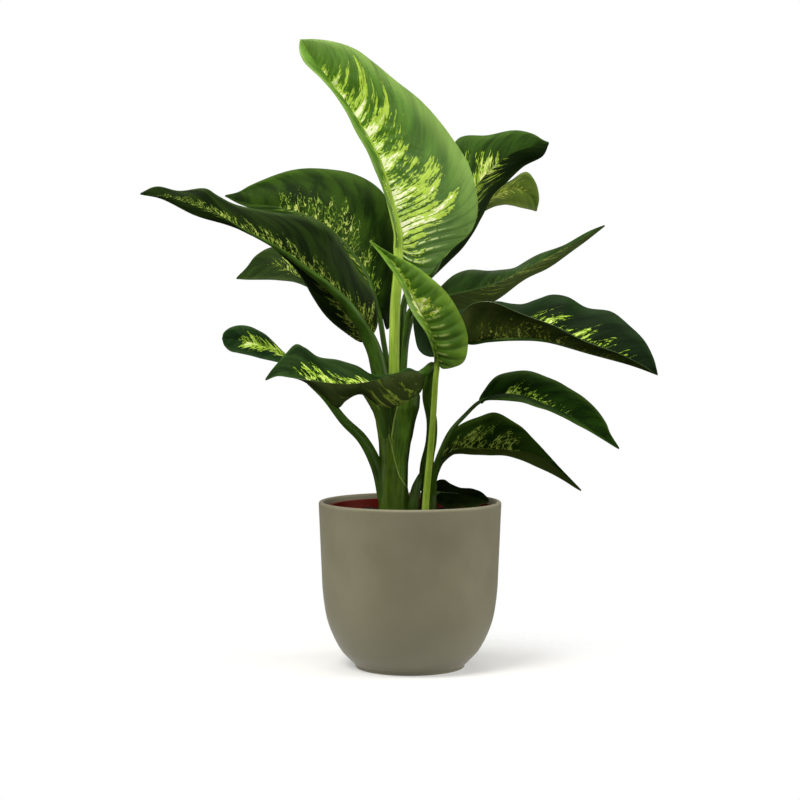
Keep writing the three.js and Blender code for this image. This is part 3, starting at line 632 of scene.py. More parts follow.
def make_leaf(name, leaf, look, materials):
    """A leaf as one closed blade with a rim, and its stalk running on as the midrib"""
    blade = Blade(leaf)
    rows = row_place(np.linspace(0, 1, ROWS))
    steps = np.arange(-HALF_COLUMNS, HALF_COLUMNS + 1) / HALF_COLUMNS
    columns = np.sign(steps) * np.abs(steps)**COLUMN_CROWDING
    grid, widths = blade.surface(rows, columns)
    height, maps = blade_relief(blade, look, rows, columns, widths)
    grid = grid + normals_of(grid) * height[..., None]
    edge = np.abs(columns)[None, :, None]
    thickness = BLADE_THICKNESS + (EDGE_THICKNESS - BLADE_THICKNESS) * edge
    offset = normals_of(grid) * thickness / 2
    builder = Builder()
    builder.slab(grid + offset, grid - offset, maps, (UPPER, UNDER, RIM))
    add_stalk(builder, blade, look)
    settle(builder.object(name + ".look", materials), name)


def add_stalk(builder, blade, look):
    """The stalk, and the midrib that stands proud of one face of the blade"""
    low, high = blade.leaf["radius"]
    share = np.linspace(0, 1, STALK_RINGS)
    rib = np.linspace(0, 1, RIB_RINGS)[1:]
    places = np.concatenate([blade.base * share, blade.base + (1 - blade.base) * rib])
    centres = blade.spine.at(places)
    run = lengths_of(centres[:STALK_RINGS] - centres[0])[:, 0]
    stalk_radius = low + (high - low) * share
    stalk_radius *= 1 + look["flare"] * (1 - smoothstep(*FLARE_SPAN, run))
    taper = look["rib_start"] * high * (1 - rib)**look["rib_taper"]
    join = smoothstep(*RIB_JOIN, rib)
    rib_radius = high * (1 - join) + np.maximum(taper, RIB_TIP_RADIUS) * join
    strip, _ = blade.surface(rib, np.array([-RIB_STRIP, RIB_STRIP]))
    normal = np.cross(strip[:, 1] - strip[:, 0], np.gradient(strip[:, 0], axis=0))
    normal /= lengths_of(normal)
    rise = look["rib_rise"] * rib_radius * smoothstep(*RIB_RISE, rib)
    centres[STALK_RINGS:] += normal * rise[:, None]
    add_tube(builder, centres, np.concatenate([stalk_radius, rib_radius]), TUBE_SIDES, STALK)


# Materials
SHADED = "060e03"
NOISE_SPAN = (0.3, 0.7)


def srgb(code, dim=1.0):
    """Blender's linear colour for a colour in hex, dimmed by a factor where one is given"""
    parts = [dim * int(code[i:i + 2], 16) / 255 for i in (0, 2, 4)]
    linear = [part / 12.92 if part <= 0.04045 else ((part + 0.055) / 1.055)**2.4
              for part in parts]
    return (*linear, 1)


def palette(codes):
    return [srgb(code) for code in codes.split()]


class Value:
    """What comes out of a node, for use in sums"""

    def __init__(self, look, socket):
        self.look = look
        self.socket = socket

    def __add__(self, other):
        return self.look.math("ADD", self, other)

    def __sub__(self, other):
        return self.look.math("SUBTRACT", self, other)

    def __mul__(self, other):
        return self.look.math("MULTIPLY", self, other)

    def __truediv__(self, other):
        return self.look.math("DIVIDE", self, other)

    def __abs__(self):
        return self.look.math("ABSOLUTE", self)


class Look:
    """A Principled material whose nodes are joined by short calls"""

    def __init__(self, name, **constants):
        self.material = bpy.data.materials.new(name)
        self.material.use_nodes = True
        self.tree = self.material.node_tree
        self.shader = self.tree.nodes["Principled BSDF"]
        for socket, value in constants.items():
            self.set(socket.replace("_", " "), value)

    def node(self, kind, values, output=0, **settings):
        made = self.tree.nodes.new(kind)
        for setting, value in settings.items():
            setattr(made, setting, value)
        for socket, value in values.items():
            self.join(value, made.inputs[socket])
        return Value(self, made.outputs[output])

    def join(self, value, socket):
        if isinstance(value, Value):
            self.tree.links.new(value.socket, socket)
        else:
            socket.default_value = value

    def set(self, socket, value):
        self.join(value, self.shader.inputs[socket])

    def math(self, operation, a, b=0.0):
        return self.node("ShaderNodeMath", {0: a, 1: b}, operation=operation)

    def ramp(self, value, low, high, start=0.0, end=1.0):
        """Start where the value is low, end where it is high, and a smooth change between"""
        values = {0: value, 1: low, 2: high, 3: start, 4: end}
        return self.node("ShaderNodeMapRange", values, interpolation_type="SMOOTHSTEP")

    def curve(self, value, points):
        """What a smooth line through (value, result) points gives"""
        result = points[0][1]
        for (low, start), (high, end) in zip(points, points[1:]):
            result = self.ramp(value, low, high, 0, end - start) + result
        return result

    def mix(self, factor, a, b):
        return self.node("ShaderNodeMix", {0: factor, 6: a, 7: b}, 2, data_type="RGBA")

    def mottle(self, noise, a, b):
        return self.mix(self.ramp(noise, *NOISE_SPAN), a, b)

    def place(self, x, y, z=0.0):
        return self.node("ShaderNodeCombineXYZ", {0: x, 1: y, 2: z})

    def noise(self, place, scale=1.0, detail=2.0, roughness=0.5):
        values = {"Vector": place, "Scale": scale, "Detail": detail, "Roughness": roughness}
        return self.node("ShaderNodeTexNoise", values)

    def uv(self, layer):
        vector = self.node("ShaderNodeUVMap", {}, uv_map=layer)
        return [self.node("ShaderNodeSeparateXYZ", {0: vector}, part) for part in range(2)]

    def object_place(self):
        return self.node("ShaderNodeTexCoord", {}, 3)

    def bump(self, height, distance):
        values = {"Height": height, "Distance": distance * MM, "Strength": 1.0}
        self.set("Normal", self.node("ShaderNodeBump", values))


# Splashes are three noises, each with its weight, how often it changes along the midrib and
# outward along the veins, per centimetre, and its detail. Thin branching lines join them.
SPLASH_NOISES = [(0.42, 1.2, 0.3, 1), (0.33, 3.4, 1.0, 2), (0.25, 8.5, 3.5, 2)]
SPLASH_ROUGHNESS = 0.6
SEED_STEP = 7.3
BRANCH_WIDTH = 0.09
BRANCH_CHANGE = (0.11, -0.09)
REACH_SPAN = (0.45, 1.2)
REACH_CHANGE = -0.28
NEAR_RIB_SPAN = (0, 0.3)
NEAR_RIB_CHANGE = 0.05
SPLASH_LEVEL = 0.5


def on_side(side, left, right):
    """One number left of the midrib and another right of it"""
    return side * (right - left) + left


def splashes(look, skin, t, a, side, along, out):
    """How much of the leaf is splashed, from 0, where it starts, upwards"""
    seed = skin["seed"] * SEED_STEP
    shake = look.noise(look.place(along * 1.5, out, seed), 1.6, 2)
    along = along + (shake - 0.5) * skin["shake"]
    fine_along, fine_out = skin["fine"]
    along = along * fine_along
    out = out * fine_out
    branch_place = look.place(along * 2.6, out * 1.1, seed + 6)
    branch = abs(look.noise(branch_place) - 0.5)
    value = look.ramp(branch, 0, BRANCH_WIDTH, *BRANCH_CHANGE) * skin["branch"]
    for weight, across, outward, detail in SPLASH_NOISES:
        place = look.place(along * across, out * outward, seed + across)
        value = value + look.noise(place, 1.0, detail, SPLASH_ROUGHNESS) * weight
    patch = look.noise(look.place(along, side * 9.0, seed + 4), 1, 1)
    reach = look.ramp(patch, *NOISE_SPAN, *skin["patchy"]) * look.curve(t, skin["reach"])
    fall = a / reach
    value = value + look.ramp(fall, *REACH_SPAN, 0, REACH_CHANGE)
    value = value + look.ramp(fall, *NEAR_RIB_SPAN, NEAR_RIB_CHANGE, 0)
    value = value + look.curve(t, skin["amount"])
    return value + on_side(side, *skin["halves"]) - SPLASH_LEVEL


VEIN_LIGHT = 0.15
BLADE_ROUGHNESS = (0.4, 0.53)
SPLASH_EDGE = 0.008
SPLASH_HALO = (-0.045, 0.02, 0, 0.35)
SPLASH_SHADOW = (-0.16, -0.02, 0, 0.7)
CREAM_EDGE = 0.05
# How much of a half's own colour and painted shade also falls on its splashes
SPLASH_TINT_AND_SHADE = 0.35


def leaf_green(look, skin, a, along, out):
    """A blade's green, clouded, with a painted sheen that pales it towards its edge"""
    deep, mid, pale = palette(skin["colours"])[:3]
    cloud = look.noise(look.place(along, out * 0.6, skin["seed"]), 0.6, 3)
    cloud = look.ramp(cloud, 0.35, 0.65)
    # Painted sheen: the green pales towards the blade's edge
    painted_edge_sheen = look.ramp(a, skin["pale_from"], 1.0) * look.ramp(cloud, 0, 1, 0.6, 1)
    return look.mix(painted_edge_sheen, look.mix(cloud, deep, mid), pale)


def vein_bars_and_glints(look, skin, t, a, phase, along, out):
    """Pale bars between the veins near the base, broken here and there: partly cream in the leaf, partly a
    painted glint on the quilting's ridges
    """
    glint_bar = look.ramp(phase, 0.34, 0.44)
    glint_bar = glint_bar * look.ramp(a, 0.04, 0.12) * look.ramp(a, *skin["bar_reach"], 1, 0)
    glint_bar = glint_bar * look.ramp(t, *skin["bar_span"], skin["bars"], 0)
    broken = look.noise(look.place(along, out * 1.6, skin["seed"]))
    return glint_bar * look.ramp(broken, 0.3, 0.5)


def leaf_skin(name, skin):
    """A leaf's upper or under face"""
    look = Look(name, Specular_IOR_Level=skin["gloss"], Coat_Weight=skin["coat"],
                Coat_Roughness=0.25)
    t, s = look.uv("blade")
    along, out = look.uv("vein")
    a = abs(s)
    side = look.math("GREATER_THAN", s, 0.0)
    deep, _, pale, lime, cream = palette(skin["colours"])
    shade = srgb(SHADED)
    phase = look.math("PINGPONG", along * (MAP_UNIT / skin["vein_gap"]), 0.5)
    vein = look.ramp(phase, 0.02, skin["vein_width"], 1, 0)
    shaded_base_vein = vein * look.ramp(t, 0.1, 0.5, skin["base_veins"], 0)
    value = splashes(look, skin, t, a, side, along, out) - shaded_base_vein * skin["vein_cut"]
    grain = look.noise(look.object_place(), 500, 2, 0.6)

    # The green, deeper beside the splashes and at the base, with its veins and its grain; painted shade
    # lies in the vein grooves near the base, a painted sheen on the tip, and on one half a colour of its
    # own on some leaves, painted shade on others
    green = leaf_green(look, skin, a, along, out)
    green = look.mix(look.ramp(value, *SPLASH_SHADOW), green, deep)
    green = look.mix(look.ramp(t, 0.12, 0.5, skin["base_deep"], 0), green, deep)
    # Painted shade in the vein grooves near the base
    green = look.mix(shaded_base_vein, green, look.mix(0.5, deep, shade))
    green = look.mix(vein * VEIN_LIGHT, green, look.mix(0.35, green, pale))
    green = look.mix(look.ramp(grain, *NOISE_SPAN, 0, skin["grain"]), green, deep)
    # Painted sheen: the tip pales
    green = look.mix(look.ramp(t, 0.72, 0.98, 0, skin["tip_light"]), green, pale)
    # One half takes a colour of its own on some leaves, painted shade on others, where it turns away from
    # the light
    code, left, right = skin["half_tint"]
    tint_and_shade_colour = srgb(code)
    tint_and_shade = on_side(side, left, right) * look.ramp(t, *skin["tint_span"], 1, 0)
    green = look.mix(tint_and_shade, green, tint_and_shade_colour)
    # Pale bars with a painted glint on the ridges between the veins
    if skin["bars"]:
        bars = vein_bars_and_glints(look, skin, t, a, phase, along, out)
        green = look.mix(bars, green, look.mix(0.4, lime, cream))

    # The splashes, yellow-green with cream where they are thickest
    colour = look.mix(look.ramp(value, *SPLASH_HALO), green, lime)
    colour = look.mix(look.ramp(value, -SPLASH_EDGE, SPLASH_EDGE), colour, lime)
    cream_at = skin["cream_at"]
    creamy = look.ramp(value - a * skin["cream_fall"], cream_at, cream_at + CREAM_EDGE)
    colour = look.mix(creamy, colour, cream)
    # The half's colour and painted shade fall on its splashes too, weaker
    colour = look.mix(tint_and_shade * SPLASH_TINT_AND_SHADE, colour, tint_and_shade_colour)
    # Painted shade: the base of the blade darkens towards its edge, where the leaves in front shade it
    dark_base = look.ramp(t, 0.1, 0.55, skin["dark_base"], 0) * look.ramp(a, 0.1, 0.8)
    look.set("Base Color", look.mix(dark_base, colour, shade))
    look.set("Roughness", look.ramp(grain, 0.2, 0.8, *BLADE_ROUGHNESS))
    height = grain * 0.08 - vein * 0.5 + look.ramp(value, -0.03, 0.03, 0, skin["emboss"])
    look.bump(height, 0.22)
    return look.material


def streaked(look, x, y, along, fine, drawn):
    """Long streaks, finer across than along"""
    return look.noise(look.place(x * fine, y * fine, along * drawn), 1, 3, 0.6)


def stalk_skin(name, colours, seed):
    """A stalk and its midrib, streaked along their length"""
    look = Look(name, Specular_IOR_Level=0.15, Coat_Weight=0.03, Coat_Roughness=0.3)
    x, y = look.uv("blade")
    along = look.uv("vein")[0]
    dark, light, pale = palette(colours)
    streak = streaked(look, x, y, along, 9, 0.35)
    cloud = look.noise(look.place(x, y, along * 0.5 + seed))
    colour = look.mottle(cloud, dark, light)
    colour = look.mix(look.ramp(streak, 0.35, 0.7, 0, 0.6), colour, pale)
    look.set("Base Color", colour)
    look.set("Roughness", look.ramp(streak, *NOISE_SPAN, 0.38, 0.5))
    look.bump(streak, 0.15)
    return look.material


def rim_skin(name, colour):
    """The thin pale edge of a blade"""
    look = Look(name, Roughness=0.5)
    t, s = look.uv("blade")
    speck = look.noise(look.place(t * 60, s))
    look.set("Base Color", look.mottle(speck, srgb(colour), srgb(colour, 0.75)))
    return look.material


# The shade low on a stem fades out between two places along it, in centimetres. A sheath's margin
# is at the end of its width.
FOOT_SHADE = (16.5, 22, 0.3, 0)
MARGIN_SPAN = (0.965, 0.99)
MARGIN_COLOUR = "96ac54"
# How strong the painted shade on the right sheath's flank is
FLANK_SHADE = 0.85


def stem_skin(name, colours, margin=None, painted_flank_shade=0.0):
    """Smooth green stem tissue with long streaks and painted shade low down, with a sheath's pale margin
    and painted shade on one flank
    """
    look = Look(name, Specular_IOR_Level=0.12, Coat_Weight=0.02, Coat_Roughness=0.3)
    x, y = look.uv("blade")
    along, share = look.uv("vein")
    dark, light, pale = palette(colours)
    shade = srgb(SHADED)
    streak = streaked(look, x, y, along, 5, 0.25)
    colour = look.mottle(look.noise(look.place(x, y, along * 0.6), 0.8), dark, light)
    colour = look.mix(look.ramp(streak, 0.4, 0.75, 0, 0.6), colour, pale)
    colour = look.mix(look.ramp(along, *FOOT_SHADE), colour, shade)
    if margin:
        thin = look.ramp(share, *MARGIN_SPAN) * look.ramp(streak, 0.2, 0.6, 0.4, 0.9)
        colour = look.mix(thin, colour, srgb(margin))
    # Painted shade on the sheath's flank, where the leaves above shade it
    if painted_flank_shade:
        turn = look.math("ARCTAN2", x, y * -1.0)
        shaded_flank = look.ramp(turn, 0.7, 1.3) * look.ramp(turn, 1.5, 2.3, painted_flank_shade, 0)
        colour = look.mix(shaded_flank, colour, shade)
    look.set("Base Color", colour)
    look.set("Roughness", look.ramp(streak, *NOISE_SPAN, 0.36, 0.48))
    look.bump(streak, 0.2)
    return look.material


def stoneware_skin():
    """Matte sage glaze with faint mottling and fine specks, and painted shade that darkens it a little
    towards the foot
    """
    look = Look("stoneware", Specular_IOR_Level=0.35, Sheen_Weight=0.16, Sheen_Roughness=0.4)
    place = look.object_place()
    height = look.node("ShaderNodeSeparateXYZ", {0: place}, 2)
    clouds = look.noise(place, 25, 4, 0.55)
    speck = look.noise(place, 900, 2, 0.6)
    colour = look.mottle(clouds, srgb("75725e"), srgb("7b7864"))
    # Painted shade: darker towards the foot
    colour = look.mix(look.ramp(height, 0, 0.09, 0.6, 0), colour, srgb("585444"))
    colour = look.mix(look.ramp(speck, 0.62, 0.75, 0, 0.25), colour, srgb("565240"))
    look.set("Base Color", colour)
    look.set("Roughness", look.ramp(clouds, *NOISE_SPAN, 0.5, 0.6))
    look.bump(speck + clouds * 1.5, 0.05)
    return look.material


def plastic_skin():
    """Thin brick-coloured plastic"""
    look = Look("nursery plastic", Specular_IOR_Level=0.05)
    place = look.object_place()
    fine = look.noise(place, 600)
    look.set("Base Color", look.mottle(look.noise(place, 30, 3), srgb("561108"), srgb("62170c")))
    look.set("Roughness", look.ramp(fine, *NOISE_SPAN, 0.42, 0.52))
    look.bump(fine, 0.04)
    return look.material


def soil_skin():
    """Dark peat with paler bits of bark"""
    look = Look("peat", Roughness=0.95, Specular_IOR_Level=0.2)
    place = look.object_place()
    clump = look.noise(place, 120, 4, 0.65)
    bits = look.noise(place, 420, 3, 0.6)
    colour = look.mottle(clump, srgb("18100b"), srgb("38291e"))
    colour = look.mix(look.ramp(bits, 0.6, 0.72, 0, 0.7), colour, srgb("69523c"))
    look.set("Base Color", colour)
    look.bump(clump + bits, 0.8)
    return look.material


# The cane, the side shoot and the pots
def stem_line(points, count):
    """A stem's centres and radii at even steps"""
    points = np.asarray(points, float)
    line = Curve(seen(points))
    shares = np.linspace(0, 1, count)
    knots = [line.share_of_point(i) for i in range(len(points))]
    return line.at(shares), np.interp(shares, knots, points[:, 3])


# Each sheath round the cane: the angle where it leaves the cane at the back, then rows of
# [height, angle of its free margin, how far it stands off the cane]. Angles are in degrees to
# the right of the front.
WRAPS = [
    {"back": -150, "rows": [(158, 110, 0), (172, 96, 0), (187, 69, 0), (193, 41, 0), (201, 21, 0),
                            (215, 4, 0), (228, -9, 0), (243, -21, 0.2), (248.5, -18, 0.5),
                            (250.5, -28, 0.7), (257, -31, 1), (265, -39, 3), (271, -44, 6),
                            (278, -47, 11), (286, -52, 17)]},
    {"back": 150, "rows": [(158, 60, -1.1), (190, 20, -1.1), (215, -4, -1.1), (232, -12, -0.8),
                           (240, -14, 0), (257, -8, 0), (274, -2, 0), (290, 5, 0)]},
]
WRAP_FACES = (1.7, -0.7)
WRAP_STEPS = 110
WRAP_SIDES = 56
WRAP_ROOT = (0, 0.25)
CANE_RINGS = 120
CANE_SIDES = 64
SHOOT_RINGS = 60
SHOOT_SIDES = 32


def add_wrap(builder, centres, radii, wrap, slot):
    """A stalk's sheath, wrapped round the cane with its margin free"""
    heights, margins, flares = np.array(wrap["rows"], float).T
    ups = np.linspace(heights[0], heights[-1], WRAP_STEPS)
    centre = np.stack([np.interp(ups, centres[:, 2], centres[:, k]) for k in range(3)], 1)
    radius = np.interp(ups, centres[:, 2], radii)[:, None]
    margin = np.interp(ups, heights, margins)[:, None]
    flare = np.interp(ups, heights, flares)[:, None]
    back = wrap["back"]
    share = np.linspace(0, 1, WRAP_SIDES)
    angle = np.radians(back + (margin - back) * share)
    x = np.sin(angle)
    y = -np.cos(angle)
    ring = np.stack([x, y, 0 * x], -1)
    maps = [x * radius / MAP_UNIT, y * radius / MAP_UNIT, ups[:, None] / MAP_UNIT, share]
    faces = []
    for offset in WRAP_FACES:
        lift = radius + (offset + flare) * smoothstep(*WRAP_ROOT, share)
        faces.append(centre[:, None] + ring * lift[..., None])
    builder.slab(*faces, np.stack(np.broadcast_arrays(*maps), -1), [slot] * 3, flip=back > 0)


def make_cane(skins):
    builder = Builder()
    centres, radii = stem_line(CANE, CANE_RINGS)
    add_tube(builder, centres, radii, CANE_SIDES)
    for number, wrap in enumerate(WRAPS):
        add_wrap(builder, centres, radii, wrap, number + 1)
    settle(builder.object("cane.look", skins), "cane")


def make_side_shoot(skin):
    builder = Builder()
    for points in (SIDE_SHOOT, SHOOT_BRACT):
        add_tube(builder, *stem_line(points, SHOOT_RINGS), SHOOT_SIDES)
    settle(builder.object("side_shoot.look", [skin]), "side_shoot")


def arc(centre_radius, centre_height, radius, start, end, count):
    """Points of a (radius, height) profile round a circle, angles in degrees"""
    turns = np.radians(np.linspace(start, end, count))
    return [(centre_radius + radius * math.cos(turn), centre_height + radius * math.sin(turn))
            for turn in turns]


def wall_line(count):
    """The cachepot's curved outer wall from its straight part down to its foot, and the way out
    of the wall at each point"""
    points = np.array(POT_WALL_LINE, float)
    padded = np.vstack([points[0], points, points[-1]])
    line = spline(padded, np.linspace(0, len(points) - 1, count), even=True)
    run = np.gradient(line, axis=0)
    run /= lengths_of(run)
    return line, np.stack([-run[:, 1], run[:, 0]], 1)


POT_SIDES = 192
WALL_POINTS = 60
LIP_POINTS = 16
CAVITY_CORNER = 5


def make_cachepot(skin):
    line, outward = wall_line(WALL_POINTS)
    lip = POT_WALL / 2
    foot = [(0, 0), (FOOT_RADIUS - 1.5 * FOOT_EDGE, 0)]
    foot += arc(FOOT_RADIUS - FOOT_EDGE, FOOT_EDGE, FOOT_EDGE, -80, 0, 5)
    foot += [(FOOT_RADIUS, FOOT_HEIGHT)]
    outer = [tuple(point) for point in line[::-1]]
    radius, height = POT_WALL_LINE[0]
    straight = [(radius + (POT_RADIUS - radius) * share,
                 height + (POT_HEIGHT - lip - height) * share)
                for share in np.linspace(0.1, 0.98, 10)]
    rim = arc(POT_RADIUS - lip, POT_HEIGHT - lip, lip, 0, 180, LIP_POINTS)
    inner = [tuple(point) for point in line - outward * POT_WALL
             if point[1] > POT_FLOOR + CAVITY_CORNER]
    corner = arc(inner[-1][0] - CAVITY_CORNER, POT_FLOOR + CAVITY_CORNER, CAVITY_CORNER,
                 -10, -90, 6)
    builder = Builder()
    profile = foot + outer + straight + rim + inner + corner + [(0, POT_FLOOR)]
    add_lathe(builder, profile, POT_SIDES)
    settle(builder.object("cachepot.look", [skin]), "cachepot")


NURSERY_SIDES = 128
NURSERY_WALL_POINTS = 24
NURSERY_BEVEL = 1
RIM_BEVEL = 0.4
DRAIN_SIDES = 24
DRAIN_REACH = 4


def nursery_radius(height):
    """The nursery pot's outer radius at a height"""
    share = (height - NURSERY_FOOT) / (NURSERY_TOP - NURSERY_FOOT)
    return NURSERY_FOOT_RADIUS + (NURSERY_TOP_RADIUS - NURSERY_FOOT_RADIUS) * share


def drain_cutter(skin, foot, top):
    """Upright rods where the drain holes go"""
    cutter = Builder()
    for x, y, _ in DRAIN_CIRCLE * circle(DRAIN_HOLES):
        add_tube(cutter, [(x, y, foot), (x, y, top)], [DRAIN_RADIUS] * 2, DRAIN_SIDES)
    return cutter.object("holes", [skin])


def make_nursery_pot(skin):
    rim_foot = NURSERY_TOP - NURSERY_RIM_DEPTH
    floor_top = NURSERY_FOOT + NURSERY_WALL
    edge = NURSERY_WALL / 2
    heights = np.linspace(NURSERY_TOP - 1, floor_top, NURSERY_WALL_POINTS)
    wall = [(nursery_radius(height) - NURSERY_WALL, height) for height in heights]
    profile = [(0, NURSERY_FOOT), (NURSERY_FOOT_RADIUS - NURSERY_BEVEL, NURSERY_FOOT),
               (NURSERY_FOOT_RADIUS, NURSERY_FOOT + NURSERY_BEVEL),
               (nursery_radius(rim_foot), rim_foot), (NURSERY_RIM_RADIUS - RIM_BEVEL, rim_foot)]
    profile += arc(NURSERY_RIM_RADIUS - edge, NURSERY_TOP - edge, edge, 0, 90, 6)
    profile += arc(wall[0][0] + edge, NURSERY_TOP - edge, edge, 95, 175, 6)
    profile += wall + [(0, floor_top)]
    builder = Builder()
    add_lathe(builder, profile, NURSERY_SIDES)
    made = builder.object("nursery_pot.look", [skin])
    holes = drain_cutter(skin, NURSERY_FOOT - DRAIN_REACH, floor_top + DRAIN_REACH)
    cut = made.modifiers.new("holes", "BOOLEAN")
    cut.object = holes
    cut.solver = "EXACT"
    shown = made.evaluated_get(bpy.context.evaluated_depsgraph_get())
    mesh = bpy.data.meshes.new_from_object(shown)
    made.modifiers.clear()
    made.data = mesh
    bpy.data.objects.remove(holes)
    settle(made, "nursery_pot")


SOIL_SIDES = 160
SOIL_RINGS = 60
SOIL_GAP = 0.3
CRUMBS = 1500
CRUMB_SIZES = (0.7, 2.2)
CRUMB_REACH = 0.96
CRUMB_LIFT = 0.2
SOIL_SEED = 11
GOLDEN = (1 + math.sqrt(5)) / 2
CRUMB_FACES = np.array([
    (0, 1, 2), (0, 7, 1), (0, 2, 6), (0, 6, 5), (0, 5, 7), (1, 8, 2), (1, 7, 3), (1, 3, 8),
    (2, 4, 6), (2, 8, 4), (3, 7, 11), (3, 9, 8), (3, 11, 9), (4, 10, 6), (4, 8, 9), (4, 9, 10),
    (5, 6, 10), (5, 11, 7), (5, 10, 11), (9, 11, 10),
])


def soil_radius(height):
    """How far the soil reaches at a height, a little short of the nursery pot's inner wall"""
    return nursery_radius(height) - NURSERY_WALL - SOIL_GAP


def soil_height(x, y):
    """The top of the soil, domed, with low humps and, away from its edge, a finer unevenness"""
    inward = max(0.0, 1 - math.hypot(x, y) / soil_radius(SOIL_EDGE))
    hump = math.sin(0.11 * x + 1) * math.cos(0.13 * y) + math.sin(0.19 * (x + y))
    fine = noise.noise(Vector((x / 9, y / 9, 3))) + 0.5 * noise.noise(Vector((x / 3, y / 3, 8)))
    share = min(1, inward * 8)
    return SOIL_EDGE + SOIL_DOME * math.sqrt(inward) + share * (SOIL_BUMP * hump + 0.8 * fine)


def make_soil(skin):
    """The soil's body, and crumbs of peat and bark half sunk in its top"""
    floor_top = NURSERY_FOOT + NURSERY_WALL + SOIL_GAP
    rings = [soil_radius(height) * circle(SOIL_SIDES) + (0, 0, height)
             for height in (floor_top, SOIL_EDGE)]
    for share in np.linspace(1, 0, SOIL_RINGS + 1)[1:-1]:
        ring = soil_radius(SOIL_EDGE) * share * circle(SOIL_SIDES)
        rings.append([(x, y, soil_height(x, y)) for x, y, _ in ring])
    builder = Builder()
    builder.stack(rings, 0, ends=(None, (0, 0, soil_height(0, 0))))
    add_crumbs(builder)
    settle(builder.object("soil.look", [skin]), "soil")


def add_crumbs(builder):
    """Crumbs with twenty faces, each stretched, spun and dented by chance"""
    random = np.random.default_rng(SOIL_SEED)
    corners = []
    for a in (-1, 1):
        for b in (-GOLDEN, GOLDEN):
            corners += [(0, a, b), (a, b, 0), (b, 0, a)]
    corners = np.array(corners, float)
    corners /= lengths_of(corners)
    for _ in range(CRUMBS):
        radius = soil_radius(SOIL_EDGE) * CRUMB_REACH * math.sqrt(random.random())
        turn = 2 * math.pi * random.random()
        x = radius * math.cos(turn)
        y = radius * math.sin(turn)
        size = random.uniform(*CRUMB_SIZES) * random.uniform(0.6, 1.0, 3)
        spin = random.uniform(0, 2 * math.pi)
        right, back, up = (corners * size * random.uniform(0.85, 1.15, (12, 1))).T
        turned = np.stack([right * math.cos(spin) - back * math.sin(spin),
                           right * math.sin(spin) + back * math.cos(spin), up], 1)
        first = builder.add(turned + (x, y, soil_height(x, y) + CRUMB_LIFT))
        builder.face(first + CRUMB_FACES, 0)


# The stage
FLOOR_RADIUS = 0.5
FLOOR_SIDES = 96
FLOOR_DROP = 0.05
FLOOR_FADE = (0.08, 0.3)
FLOOR_GLOW = 0.31
FLOOR_COLOUR = (0.6, 0.61, 0.64, 1)
WHITE = (1, 1, 1, 1)


def make_floor():
    """A plain white floor that fades into the white behind it"""
    builder = Builder()
    first = builder.add(FLOOR_RADIUS / MM * circle(FLOOR_SIDES) - (0, 0, FLOOR_DROP))
    builder.face([first + np.arange(FLOOR_SIDES)], 0)
    look = Look("floor", Roughness=0.9, Specular_IOR_Level=0.0, Emission_Strength=FLOOR_GLOW,
                Emission_Color=WHITE, Base_Color=FLOOR_COLOUR)
    away = look.node("ShaderNodeVectorMath", {0: look.object_place()}, 1, operation="LENGTH")
    look.set("Alpha", look.ramp(away, *FLOOR_FADE, 1, 0))
    floor = builder.object("floor", [look.material])


WORLD_LIGHT = 0.05
LAMPS = {
    "key": {"place": (-0.8, -1.0, 1.9), "size": 0.9, "power": 34},
    "left": {"place": (-1.8, -0.1, 0.7), "size": 1.2, "power": 16},
    "right": {"place": (1.8, -0.1, 0.7), "size": 1.2, "power": 25},
    "top": {"place": (0.1, -0.3, 2.2), "size": 1.2, "power": 22},
    "front": {"place": (0.2, -2.7, 1.1), "size": 2.0, "power": 26},
    "back": {"place": (0.1, 1.6, 2.0), "size": 1.6, "power": 13},
}
LAMPS_AIM = Vector((0, 0, 0.3))
LAMPS_COLOUR = (1.0, 0.97, 0.86)


def set_world():
    """White behind the plant, and an even soft light round it"""
    world = bpy.data.worlds.new("studio")
    bpy.context.scene.world = world
    world.use_nodes = True
    nodes = world.node_tree.nodes
    links = world.node_tree.links
    background = nodes["Background"]
    path = nodes.new("ShaderNodeLightPath")
    strength = nodes.new("ShaderNodeMix")
    strength.inputs[2].default_value = WORLD_LIGHT
    strength.inputs[3].default_value = 1.0
    links.new(path.outputs["Is Camera Ray"], strength.inputs[0])
    links.new(strength.outputs[0], background.inputs["Strength"])
    background.inputs["Color"].default_value = WHITE


def set_lamps():
    for name, lamp in LAMPS.items():
        light = bpy.data.lights.new(name, "AREA")
        light.shape = "DISK"
        light.size = lamp["size"]
        light.energy = lamp["power"]
        light.color = LAMPS_COLOUR
        made = bpy.data.objects.new(name, light)
        made.location = lamp["place"]
        made.rotation_euler = (LAMPS_AIM - made.location).to_track_quat("-Z", "Y").to_euler()
        bpy.context.scene.collection.objects.link(made)


def set_camera():
    """The photograph's own viewpoint"""
    data = bpy.data.cameras.new("camera")
    data.sensor_width = SENSOR_WIDTH
    data.lens = FOCAL_PIXELS * SENSOR_WIDTH / IMAGE_PIXELS
    data.clip_start = NEAR_CLIP
    camera = bpy.data.objects.new("camera", data)
    camera.location = Vector(EYE * MM)
    camera.rotation_euler = Vector((AIM - EYE) * MM).to_track_quat("-Z", "Y").to_euler()
    bpy.context.scene.collection.objects.link(camera)
    bpy.context.scene.camera = camera


